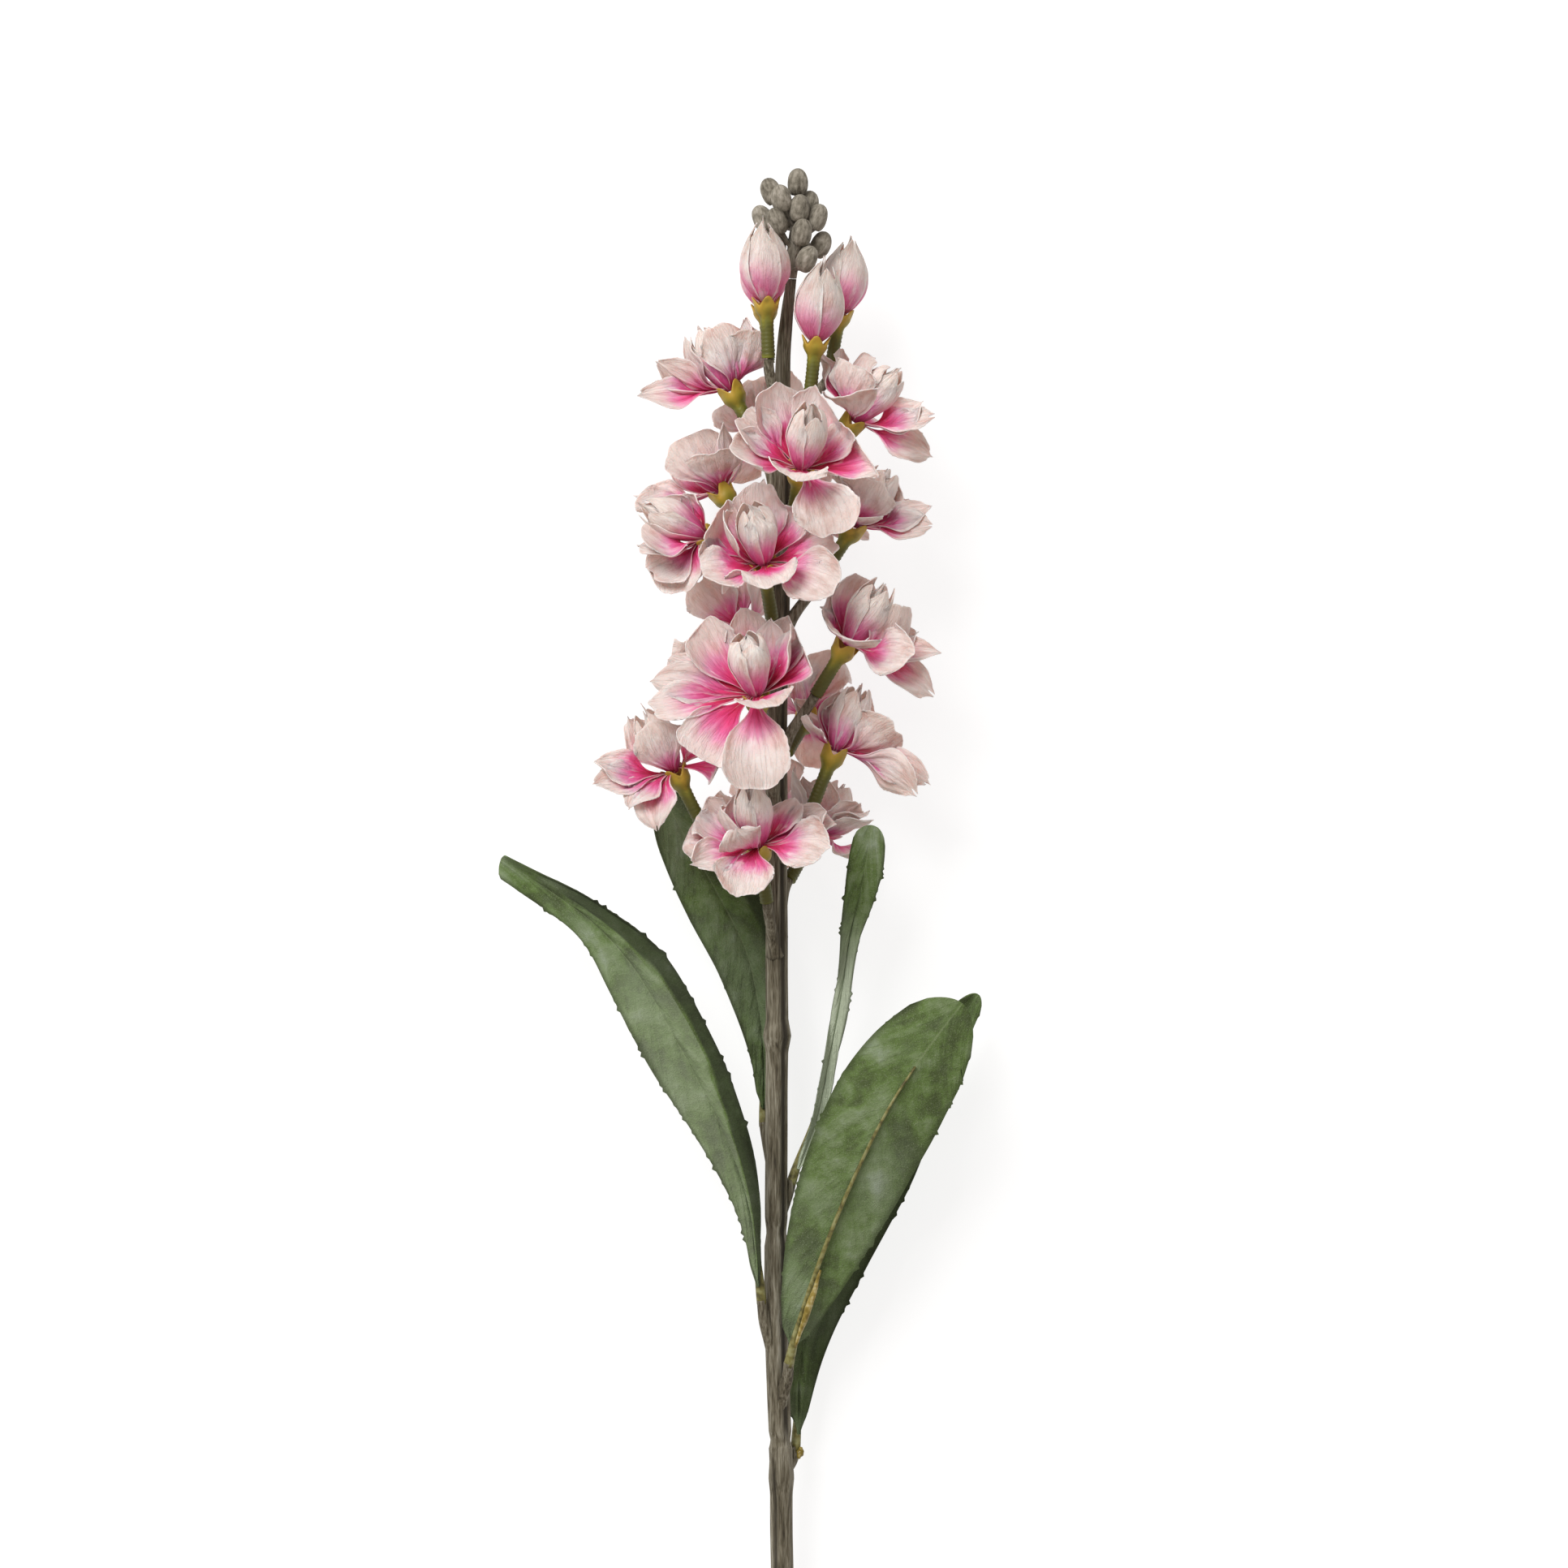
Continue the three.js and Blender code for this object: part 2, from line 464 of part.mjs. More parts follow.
// Petals of a bloom at the back, which stand up where they are at the top of the flower
function rearPetals(flower) {
  const { side, top, axis, number } = flower;
  const petals = [];
  for (const whorl of rearWhorls) {
    for (let order = 0; order < whorl.petals; order += 1) {
      const key = 900 + 20 * number + petals.length;
      const position = (flower.turn + whorl.turn + 360 * order / whorl.petals + 5 * draw(key, 1)) * degrees;
      const stand = Math.max(0, Math.sin(position));
      const out = whorl.out + (whorl.standOut - whorl.out) * stand + 1.5 * draw(key, 2);
      const up = whorl.up + (whorl.standUp - whorl.up) * stand + 1.5 * draw(key, 3);
      const tip = side.clone().multiplyScalar(out * Math.cos(position))
        .addScaledVector(top, out * Math.sin(position)).addScaledVector(axis, up);
      petals.push([...tip.toArray(), whorl.width, 0, whorl.curl]);
    }
  }
  return petals;
}

// The middle line of a petal, which springs from the flower's base between its axis and the side
// that the tip is on, and arches over to the tip
function petalLine({ base, axis }, tip, outward, curl) {
  const root = outward.clone().multiplyScalar(rootOut).addScaledVector(axis, rootUp);
  const length = tip.distanceTo(root);
  const chord = tip.clone().sub(root).divideScalar(length);
  const leave = chord.clone().addScaledVector(outward, petalBow).normalize();
  const arrive = leave.clone().negate().addScaledVector(chord, 2 * chord.dot(leave));
  const back = outward.clone().multiplyScalar(arrive.dot(axis)).addScaledVector(axis, -arrive.dot(outward));
  arrive.addScaledVector(back, curl).normalize();
  const points = [root, root.clone().addScaledVector(leave, rootPull * length),
    tip.clone().addScaledVector(arrive, -tipPull * length), tip];
  return new THREE.CubicBezierCurve3(...points.map((point) => point.clone().add(base)));
}

// The sheet of one petal; each draws its own width, cup, rounding and wave
function petalSheet(flower, [right, up, front, width, face, curl], key, keepClear) {
  const { axis } = flower;
  const tip = vec(right, up, front);
  const outward = tip.clone().addScaledVector(axis, -tip.dot(axis)).normalize();
  const line = petalLine(flower, tip, outward, curl);
  const { blunt, widthAt } = width < pointedBelow ? pointedPetal : roundPetal;
  const halfWidth = 0.5 * width * (1 + 0.05 * draw(key, 5));
  const cup = petalCup * (1 + 0.25 * draw(key, 7));
  const rounding = blunt * (tipRound + 0.07 * draw(key, 8));
  return (s, t) => {
    const along = s - rounding * Math.abs(t) ** 2.3 * s ** 3;
    const ahead = line.getTangent(along);
    const inward = axis.clone().multiplyScalar(ahead.dot(outward))
      .addScaledVector(outward, -ahead.dot(axis));
    const turned = face * THREE.MathUtils.smoothstep(s, 0, 0.6);
    const rise = inward.multiplyScalar(1 - Math.abs(turned)).add(vec(0, 0, turned));
    rise.addScaledVector(ahead, -rise.dot(ahead)).normalize();
    const across = vec(0, 0, 0).crossVectors(ahead, rise);
    const swing = t * halfWidth * widthAt(along) / cup;
    const wave = 0.8 * s * t * Math.sin(5 * s + 3 * draw(key, 6));
    const point = line.getPoint(along).addScaledVector(across, cup * Math.sin(swing))
      .addScaledVector(rise, cup * (1 - Math.cos(swing)) + wave);
    return keepClear(point);
  };
}

// Closed petals wrapped round one another: each ring steps in where one petal slips under the next
function closedPetals(flower, { petals: count, steps, tip, sunk, rings }, keepClear) {
  const { base, side, top, axis, size, turn } = flower;
  const rows = rings.map(([rise, radius], row) => {
    const points = [];
    for (let i = 0; i < count * steps.length; i += 1) {
      const [share, step] = steps[i % steps.length];
      const wrap = row === 0 ? 1 : step;
      const turned = turn + wrapTwist * rise + 360 * (Math.floor(i / steps.length) + share) / count;
      const raised = row === rings.length - 1 ? tip * (i % steps.length === 1 ? 1 : -0.4) : 0;
      points.push(base.clone().addScaledVector(axis, size * (rise + raised))
        .addScaledVector(side, size * radius * wrap * Math.cos(turned * degrees))
        .addScaledVector(top, size * radius * wrap * Math.sin(turned * degrees)));
    }
    return row === 0 ? points : points.map(keepClear);
  });
  return loft(rows, -sunk);
}

// All the petals of one flower, joined at its base
function petals(flower) {
  const keepClear = clearance(flower);
  if (flower.closed) return closedPetals(flower, closedBud, keepClear);
  const root = core.map(([rise, radius]) => (
    ring(flower.base.clone().addScaledVector(flower.axis, rise), flower.side, flower.top,
      Array(coreSides).fill(radius))));
  const pieces = [closedPetals(flower, closedHeart, keepClear), loft(root)];
  const open = placedPetals[flower.number - 1] || rearPetals(flower);
  open.forEach((petal, i) => {
    const sheet = petalSheet(flower, petal, 40 * flower.number + i, keepClear);
    pieces.push(blade(sheet, petal[3] > wideAbove ? wideRows : slimRows, petalThickness));
  });
  return joined(pieces);
}

// Calyx tube and cup of one flower, with four lobes round the rim
function calyx({ base, side, top, axis, tube, closed }) {
  const lobeRise = closed ? 1.6 : -0.1;
  const lobeReach = closed ? 5 : 5.6;
  const rings = [
    [-cupHeight - tube, tubeRadius], [-cupHeight + 0.8, tubeRadius], [-1.4, cupRadius],
  ].map(([rise, radius]) => (
    ring(base.clone().addScaledVector(axis, rise), side, top, Array(8).fill(radius))));
  const rim = ring(base.clone(), side, top, [1, 3, 5, 7].flatMap(() => [cupRadius - 0.2, lobeReach]));
  rings.push(rim.map((point, i) => point.addScaledVector(axis, i % 2 ? lobeRise : -0.9)));
  return loft(rings, -(lobeRise + 0.9) / 2);
}

// The peg that carries one flower
function flowerPeg(flower) {
  return bar(flower.peg, 2, 4, (u) => pegRadius + pegFlare * (1 - u), flower.side);
}

// The stem with its flutes, rings and nodes, every flower's peg and every leaf's stub
function stem() {
  const rings = stemRings.map(([height, radius]) => {
    const flutes = Array.from({ length: stemSides }, (_, i) => radius - fluteDepth * (i % 2));
    return ring(vec(swayAt(height), height, 0), vec(0, 0, 1), vec(1, 0, 0), flutes);
  });
  const stubs = leaves.map(({ stub }) => {
    const curve = new THREE.CatmullRomCurve3(stub.map((point) => vec(...point)));
    return bar(curve, 2, ribSides, (u) => stubRadius - 0.6 * u, vec(0, 0, 1));
  });
  return joined([loft(rings), ...flowers.map(flowerPeg), ...stubs]);
}

// The green buds at the tip on their stalks, round a slim spike that stands on the stem
function tipCluster() {
  const spike = [[527 + joinGap, 1.6], [538, 2.1], [551, 0.6]].map(([height, radius]) => (
    ring(vec(swayAt(height), height, 0), vec(0, 0, 1), vec(1, 0, 0), Array(5).fill(radius))));
  const pieces = [loft(spike)];
  for (const middle of tipBuds) {
    const bud = vec(...middle);
    const root = vec(swayAt(bud.y - 9), Math.max(bud.y - 9, 530), 0);
    const lean = bud.clone().sub(root).normalize().add(vec(0, 0.9, 0)).normalize();
    const right = vec(0, 0, 1).addScaledVector(lean, -lean.z).normalize();
    const ahead = vec(0, 0, 0).crossVectors(lean, right);
    const foot = root.clone().addScaledVector(lean, 0.6);
    const sections = [[foot, 0.8], ...[[-0.45, 0.4], [-0.15, 0.95], [0.22, 0.92], [0.5, 0.28]]
      .map(([along, share]) => [bud.clone().addScaledVector(lean, along * tipBudSize.length),
        share * tipBudSize.radius])];
    const rings = sections.map(([centre, radius]) => ring(centre, right, ahead, Array(5).fill(radius)));
    pieces.push(loft(rings));
  }
  return joined(pieces);
}

// A leaf's run: place, direction, face and width at s; the rib's axis is its path
function leafFrame(leaf) {
  const path = new THREE.CatmullRomCurve3(leaf.rib.map((point) => vec(...point)));
  const outlineAt = through(leaf.outline);
  return (s) => {
    const along = path.getTangentAt(s);
    const front = vec(0, 0, 1).addScaledVector(along, -along.z).normalize();
    const turn = (leaf.face[0] + (leaf.face[1] - leaf.face[0]) * s) * degrees;
    const face = front.clone().applyAxisAngle(along, turn);
    const across = vec(0, 0, 0).crossVectors(along, face);
    return { middle: path.getPointAt(s), face, across, halfWidth: 0.5 * leaf.width * outlineAt(s) };
  };
}
const ribRadiusAt = (s) => ribRadius - 1.1 * s;

// The blade of a leaf, beside its rib
function leafBlade(leaf, number) {
  const frameAt = leafFrame(leaf);
  const sheet = (s, t) => {
    const { middle, face, across, halfWidth } = frameAt(s);
    const side = -leaf.ribSide * (ribRadiusAt(Math.min(s, ribEnd)) + joinGap + leafThickness / 2);
    const wave = leaf.wave * Math.abs(t) * Math.sin(13 * s + 2.1 * number + 1.3 * Math.sign(t));
    const lift = side + leaf.channel * t * t * Math.min(1, 3 * s) + wave * Math.min(1, 2 * s) * t * t;
    return middle.addScaledVector(across, t * halfWidth).addScaledVector(face, lift);
  };
  const rows = [0.03, 0.12, 0.24, 0.36, 0.48, 0.6, 0.72, 0.84, 0.94, 1].map((s) => (
    s === 0.03 || s === 1 ? [s, [-1, 0, 1]] : [s, [-1, -0.5, 0, 0.5, 1]]));
  return blade(sheet, rows, leafThickness);
}

// The moulded rib of a leaf, which starts at its stub on the stem
function leafRib(leaf) {
  const path = new THREE.CatmullRomCurve3(leaf.rib.map((point) => vec(...point)));
  const start = vec(...leaf.stub.at(-1));
  const toRib = vec(...leaf.rib[0]).sub(start).normalize();
  const rings = [];
  for (const s of [-1, 0.06, 0.18, 0.32, 0.48, 0.64, ribEnd]) {
    const centre = s < 0 ? start.clone().addScaledVector(toRib, joinGap) : path.getPointAt(s);
    const ahead = s < 0 ? toRib : path.getTangentAt(s);
    const right = vec(0, 0, 1).addScaledVector(ahead, -ahead.z).normalize();
    const side = vec(0, 0, 0).crossVectors(ahead, right);
    rings.push(ring(centre, right, side, Array(ribSides).fill(ribRadiusAt(Math.max(s, 0)))));
  }
  return loft(rings);
}

// The plant, with a named mesh for each piece
const plant = new THREE.Group();
function add(name, shape, material) {
  const { vertProperties, triVerts } = shape.getMesh();
  const geometry = new THREE.BufferGeometry();
  geometry.setAttribute('position', new THREE.BufferAttribute(vertProperties, 3));
  geometry.setIndex(new THREE.BufferAttribute(triVerts, 1));
  const mesh = new THREE.Mesh(geometry, material);
  mesh.name = name;
  plant.add(mesh);
}
const twoDigits = (number) => String(number).padStart(2, '0');

add('stem', stem(), finishes.stem);
add('tip_buds', tipCluster(), finishes.tip);
leaves.forEach((leaf, i) => {
  add(`leaf_${i + 1}`, leafBlade(leaf, i + 1), finishes.leaf);
  add(`leaf_rib_${i + 1}`, leafRib(leaf), finishes.rib);
});
blooms.forEach((flower, i) => {
  add(`bloom_${twoDigits(i + 1)}`, petals(flower), finishes.petals);
  add(`bloom_calyx_${twoDigits(i + 1)}`, calyx(flower), finishes.calyx);
});
buds.forEach((flower, i) => {
  add(`bud_${i + 1}`, petals(flower), finishes.petals);
  add(`bud_calyx_${i + 1}`, calyx(flower), finishes.calyx);
});

// Laid on its back: the origin is under the middle of the whole stem, on the surface it lies on
plant.rotation.x = Math.atan(restSlope);
plant.updateMatrixWorld(true);
const extent = new THREE.Box3().setFromObject(plant, true);
const middle = extent.getCenter(vec(0, 0, 0));
plant.position.set(-middle.x, -middle.y, -extent.min.z);

const part = new THREE.Group();
part.add(plant);
export default part;
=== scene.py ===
# A cut stem of stock lying on its back: woven petals round closed hearts, moulded calyx tubes,
# strap leaves on ribs and a fibrous fluted stem. Lengths are millimetres in the plant's own frame,
# stem along +Y from its cut end and face towards +Z, until worldPoints lays them down in metres.
import math

import bpy
import numpy as np
from mathutils import Matrix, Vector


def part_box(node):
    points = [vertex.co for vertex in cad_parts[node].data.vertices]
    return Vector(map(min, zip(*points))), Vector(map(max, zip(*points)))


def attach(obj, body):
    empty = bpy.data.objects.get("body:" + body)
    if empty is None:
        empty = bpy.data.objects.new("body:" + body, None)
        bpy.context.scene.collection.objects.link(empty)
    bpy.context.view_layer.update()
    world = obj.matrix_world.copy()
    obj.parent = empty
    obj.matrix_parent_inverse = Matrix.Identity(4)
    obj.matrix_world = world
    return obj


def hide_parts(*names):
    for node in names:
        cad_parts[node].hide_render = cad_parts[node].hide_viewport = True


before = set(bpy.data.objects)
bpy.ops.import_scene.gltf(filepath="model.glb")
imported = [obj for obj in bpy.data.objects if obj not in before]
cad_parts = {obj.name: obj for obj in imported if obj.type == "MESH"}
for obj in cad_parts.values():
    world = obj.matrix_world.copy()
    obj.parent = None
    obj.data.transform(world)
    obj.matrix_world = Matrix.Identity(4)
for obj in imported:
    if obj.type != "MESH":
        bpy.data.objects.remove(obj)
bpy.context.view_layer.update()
print("stage: frame loaded")

plant = {
    "restSlope": 0.068,  # how fast the surface falls away behind the stem
    "restClearance": 3.75,  # how far the surface lies behind the stem's foot
    "restGap": 0.3, "restSoftness": 3,
    "joinGap": 0.35,  # between pieces that are pushed on to one another
    "sharpAngle": 60,  # edges of thin sheets that bend by more than this stay sharp
    "seam": 0.002,  # points closer than this are merged where a piece closes on itself
    "lookAhead": 0.01,  # share of a path over which its direction is read
    "pathSamples": 60,
    "sway": [[0, 3.2], [65, 2.4], [130, 1.7], [165, 1.2], [200, 0], [240, -0.2], [290, 0],
             [390, 0], [425, 0.8], [463, 1.5], [500, 1.8], [515, 3.1], [528, 4.6], [550, 6.5]],
}
degrees = math.pi / 180


def vec(*numbers):
    return np.array(numbers, float)


def unit(vector):
    return vector / np.linalg.norm(vector)


def unitRows(rows):
    return rows / np.linalg.norm(rows, axis=1)[:, None]


# The unit directions nearest to the given one, or ones, that stand square to the rows of ahead
def squareTo(ahead, direction):
    return unitRows(direction - ahead * np.sum(direction * ahead, axis=1)[:, None])


# Points round an axis, at these radii and angles from its middles; angles start at right
def roundPoints(middles, right, up, radius, angle):
    return middles + right * (radius * np.cos(angle))[:, None] + up * (radius * np.sin(angle))[:, None]


# A repeatable draw from -1 to 1 for a pair of whole numbers, or for arrays of them: the first picks
# the piece or the point, and the second what varies about it
drawWaves = {"first": 127.1, "second": 311.7, "spread": 43758.5453}


def draw(first, second):
    phase = np.asarray(first) * drawWaves["first"] + np.asarray(second) * drawWaves["second"]
    wave = np.sin(phase) * drawWaves["spread"]
    return 2 * (wave - np.floor(wave)) - 1


# A smooth curve through [place, value] stops, level beyond its ends
def through(stops):
    places, values = np.array(stops, float).T
    last = len(places) - 1
    before = np.maximum(np.arange(last + 1) - 1, 0)
    after = np.minimum(np.arange(last + 1) + 1, last)
    slopes = (values[after] - values[before]) / (places[after] - places[before])

    def valueAt(place):
        at = np.clip(place, places[0], places[-1])
        i = np.clip(np.searchsorted(places, at) - 1, 0, last - 1)
        span = places[i + 1] - places[i]
        u = (at - places[i]) / span
        low, high = values[i], values[i + 1]
        bend = (1 - u) * slopes[i] * span - u * slopes[i + 1] * span + (2 * u - 1) * (high - low)
        return low + (high - low) * u + u * (1 - u) * bend

    return valueAt


swayAt = through(plant["sway"])


def smooth(low, high, value):
    u = np.clip((value - low) / (high - low), 0, 1)
    return u * u * (3 - 2 * u)


# A value held above a bound, easing into it over the softness
def heldAbove(value, bound, softness):
    spare = value - bound - softness
    return np.where(spare > 0, value, bound + softness * np.exp(np.minimum(spare, 0) / softness))


# Where the flowers stand, each by its height up the stem, azimuth round it, reach from its axis, lift
# of the flower's own axis above level, turn about that axis, and size
flowerPlaces = {
    "order": ["height", "azimuth", "reach", "lift", "turn", "size"],
    "open": [
        [492, -100, 15.5, 62, 0, 1],
        [482, 82, 21.5, 50, 54, 1],
        [466, 17, 19, 58, 64, 1.04],
        [461, -116, 20, 52, 30, 1],
        [450, 96, 22, 58, 12, 1],
        [437, -15, 19, 58, 20, 1.04],
        [447, -80, 22.5, 26, 50, 1],
        [413, 67, 22, 56, 15, 1.06],
        [397, -18, 19.5, 60, 19, 1.08],
        [374, -72, 32, 62, 5, 1],
        [380.5, 90, 17.5, 68, 33, 1.02],
        [351, -20, 15.5, 66, 44, 1],
        [354, 140, 17, 48, 30, 1],
        [358, -178, 18, 42, 2, 0.98],
        [478, -168, 19, 44, 28, 0.98],
        [452, 162, 19, 42, 9, 0.98],
        [418, -146, 19, 40, 38, 1],
        [391, 150, 18, 40, 21, 1],
    ],
    "closed": [
        [519, -36, 11.5, 86, 0, 1],
        [507, 48, 13, 82, 30, 1],
        [517, 120, 18.5, 80, 14, 0.96],
        [519, -148, 13.5, 84, 50, 0.92],
    ],
}
# A calyx's tube, cup and lobes, with heights from the foot of the flower's petals
calyxLook = {
    "tubeRadius": 2.05, "tubeLength": 12, "tubeStandOff": 6.2, "cupHeight": 5,
    "cupProfile": [[-4.6, 2.1], [-3, 3.1], [-1.4, 3.9], [0, 4.4]], "rimRadius": 3.75,
    "lobes": 4, "lobeFrom": 3.7, "lobeReach": 4.5, "lobeFullness": 0.9, "lobeFlare": 2.5,
    "openLobes": [0.1, 3.4], "budLobes": [-0.9, 2.0],
    "floorHeight": -1.4, "ringSpacing": 1.25, "ringDepth": 0.13, "ringsFrom": -6, "ringsTo": -3,
    "columns": 32, "rows": 48,
}
# The plainer calyx of the solids, from which the plant's place in the frame is read
solidCalyx = {"sides": 8, "shoulder": 0.8, "brim": -1.4, "brimRadius": 3.9, "lobeHeight": -0.1,
              "lobeReach": 5.6, "gapHeight": -0.9, "gapRadius": 3.7}
pegLook = {
    "radius": 1.5, "flare": 0.5, "footFlare": 0.8, "rise": 12, "lean": 0.3, "rootDepth": 1.2,
    "pull": 0.36, "pullOut": 0.35, "pullUp": 0.95, "barFrom": 0.1, "barMiddle": 0.55,
    "columns": 16, "rows": 22,
}
# How petals are bent clear of other flowers, of the stem and of other flowers' pegs and tubes
petalLimits = {
    "cellDepth": 9, "budRise": 3, "cellGap": 0.5, "cellSoftness": 1.6, "neighbourReach": 80,
    "sideTiling": 0.6, "frontTiling": 1.3, "stemKeepOut": 4.5, "pegKeepOut": 2.6, "tubeKeepOut": 3.1,
    "cupKeepOut": 5.2, "stemCrest": [1.25, 2], "barCrest": [1.3, 2.1], "bendSoftness": 1.6,
    "bendReach": 6, "passes": 2,
}


# The four points of the curve that a peg follows, from inside the stem to its calyx tube
def pegPoints(flower, out, axis, tubeFoot):
    end = tubeFoot - axis * plant["joinGap"]
    rootHeight = end[1] - pegLook["rise"] - pegLook["lean"] * flower["reach"]
    root = vec(swayAt(rootHeight), rootHeight, 0) + out * pegLook["rootDepth"]
    pull = pegLook["pull"] * np.linalg.norm(end - root)
    leave = (out * pegLook["pullOut"] + vec(0, 1, 0) * pegLook["pullUp"]) * pull
    return [root, root + leave, end - axis * pull, end]


# The names of the nodes that stand for a flower and for its calyx
def nodeNames(number):
    count = len(flowerPlaces["open"])
    kind, index = ("bloom", f"{number:02d}") if number <= count else ("bud", f"{number - count}")
    return {"node": f"{kind}_{index}", "calyxNode": f"{kind}_calyx_{index}"}


# Where a flower sits: its base, its axis and two directions across it, its peg and its calyx
def placed(values, number, closed):
    flower = dict(zip(flowerPlaces["order"], values))
    around = flower["azimuth"] * degrees
    lift = flower["lift"] * degrees
    up = vec(0, 1, 0)
    out = vec(math.sin(around), 0, math.cos(around))
    axis = out * math.cos(lift) + up * math.sin(lift)
    side = np.cross(up, out)
    base = vec(swayAt(flower["height"]), flower["height"], 0) + out * flower["reach"]
    room = (flower["reach"] - calyxLook["tubeStandOff"]) / math.cos(lift) - calyxLook["cupHeight"]
    tube = min(calyxLook["tubeLength"], room)
    tubeFoot = base - axis * (calyxLook["cupHeight"] + tube)
    heart = base + axis * (petalLimits["cellDepth"] + (petalLimits["budRise"] if closed else 0))
    return {**flower, **nodeNames(number), "number": number, "closed": closed, "out": out,
            "axis": axis, "side": side, "top": np.cross(axis, side), "base": base, "tube": tube,
            "tubeFoot": tubeFoot, "peg": pegPoints(flower, out, axis, tubeFoot), "heart": heart}


def allPlaced():
    blooms = [placed(values, i + 1, False) for i, values in enumerate(flowerPlaces["open"])]
    first = len(blooms) + 1
    return blooms + [placed(values, first + i, True) for i, values in enumerate(flowerPlaces["closed"])]


flowers = allPlaced()


# The direction straight out from a flower's own axis, at an angle round it
def outwardAt(flower, angle):
    return flower["side"] * math.cos(angle) + flower["top"] * math.sin(angle)


def bezier(points, u):
    u = np.asarray(u, float)[..., None]
    a, b, c, d = points
    return a * (1 - u) ** 3 + b * 3 * u * (1 - u) ** 2 + c * 3 * u * u * (1 - u) + d * u ** 3


# What petals of other flowers keep clear of below a flower: its peg, its tube and its cup
def barsOf(flower):
    start = bezier(flower["peg"], pegLook["barFrom"])
    middle = bezier(flower["peg"], pegLook["barMiddle"])
    cupFoot = flower["base"] - flower["axis"] * calyxLook["cupHeight"]
    return [
        (start, middle, petalLimits["pegKeepOut"]),
        (middle, flower["tubeFoot"], petalLimits["pegKeepOut"]),
        (flower["tubeFoot"], cupFoot, petalLimits["tubeKeepOut"]),
        (cupFoot, flower["base"], petalLimits["cupKeepOut"]),
    ]


# How high points have to pass over a round bar, by the square of their distance beside its crest
def crestOver(radius, crest, besideSquared):
    height, spread = crest
    return height * radius - besideSquared / (spread * radius)


# Moves points clear of a bar, towards the side that their own flower's heart is on
def clearOfBar(points, bar, heart):
    start, end, radius = bar
    length = np.linalg.norm(end - start)
    along = (end - start) / length
    towards = heart - start
    towards = unit(towards - along * (towards @ along))
    offset = points - start
    run = offset @ along
    beyond = np.maximum(0, np.maximum(-run, run - length))
    across = offset - np.outer(run, along)
    clear = across @ towards
    aside = np.sum((across - np.outer(clear, towards)) ** 2, axis=1)
    bound = crestOver(radius, petalLimits["barCrest"], aside + beyond ** 2)
    push = heldAbove(clear, bound, petalLimits["bendSoftness"]) - clear
    push = np.where(clear < -petalLimits["bendReach"] * radius, 0, push)
    return points + np.outer(push, towards)


# Moves points clear of the stem, out to the side that their flower stands on
def clearOfStem(points, out, side):
    fromAxis = points[:, 0] - swayAt(points[:, 1])
    outward = fromAxis * out[0] + points[:, 2] * out[2]
    aside = fromAxis * side[0] + points[:, 2] * side[2]
    bound = crestOver(petalLimits["stemKeepOut"], petalLimits["stemCrest"], aside ** 2)
    push = heldAbove(outward, bound, petalLimits["bendSoftness"]) - outward
    return points + np.outer(push, out)


# The walls half way to a flower's neighbours: the direction across each and its distance
def wallsOf(flower, near):
    walls = []
    for other in near:
        apart = other["heart"] - flower["heart"]
        away = unit(apart)
        outward = (flower["out"] + other["out"]) / 2
        extra = petalLimits["frontTiling"] - petalLimits["sideTiling"]
        tiling = petalLimits["sideTiling"] + max(0, outward[2]) * extra
        away = unit(away + outward * tiling * away[1])
        walls.append((away, apart @ away / 2 - petalLimits["cellGap"]))
    return walls


def heldInside(points, away, limit, heart):
    reach = (points - heart) @ away
    held = heldAbove(-reach, -limit, petalLimits["cellSoftness"])
    return points + np.outer(-held - reach, away)


def shrunkInside(points, walls, heart):
    offset = points - heart
    excess = np.max([offset @ away / limit for away, limit in walls], axis=0)
    return heart + offset / np.maximum(1, excess)[:, None]


def aboveFloor(points):
    depth = points[:, 2] + plant["restClearance"] + plant["restSlope"] * points[:, 1]
    lift = heldAbove(depth, plant["restGap"], plant["restSoftness"]) - depth
    return points + np.outer(lift, vec(0, 0, 1))


# What bends the petals of one flower clear of its neighbours, the stem, their bars and the surface
def clearance(flower):
    heart = flower["heart"]
    near = [other for other in flowers if other is not flower
            and np.linalg.norm(other["heart"] - heart) < petalLimits["neighbourReach"]]
    walls = wallsOf(flower, near)
    bars = [bar for other in near for bar in barsOf(other)]

    def keepClear(points):
        for _ in range(petalLimits["passes"]):
            for away, limit in walls:
                points = heldInside(points, away, limit, heart)
            points = clearOfStem(points, flower["out"], flower["side"])
            for bar in bars:
                points = clearOfBar(points, bar, heart)
        return aboveFloor(shrunkInside(points, walls, heart))

    return keepClear


leanBack = math.atan(plant["restSlope"])


# Plant points with the stem laid on its back, still in millimetres
def laidBack(points):
    x, y, z = np.asarray(points, float).T
    return np.stack([x, y * math.cos(leanBack) - z * math.sin(leanBack),
                     y * math.sin(leanBack) + z * math.cos(leanBack)], axis=-1)


def solidCalyxCorners(flower):
    foot, cupFoot = -calyxLook["cupHeight"] - flower["tube"], -calyxLook["cupHeight"]
    rings = [
        (foot, calyxLook["tubeRadius"]), (cupFoot + solidCalyx["shoulder"], calyxLook["tubeRadius"]),
        (solidCalyx["brim"], solidCalyx["brimRadius"]),
    ]
    edge = [(solidCalyx["gapHeight"], solidCalyx["gapRadius"]),
            (solidCalyx["lobeHeight"], solidCalyx["lobeReach"])]
    points = []
    for i in range(solidCalyx["sides"]):
        outward = outwardAt(flower, 2 * math.pi * i / solidCalyx["sides"])
        for rise, radius in rings + [edge[i % 2]]:
            points.append(flower["base"] + flower["axis"] * rise + radius * outward)
    return laidBack(points)


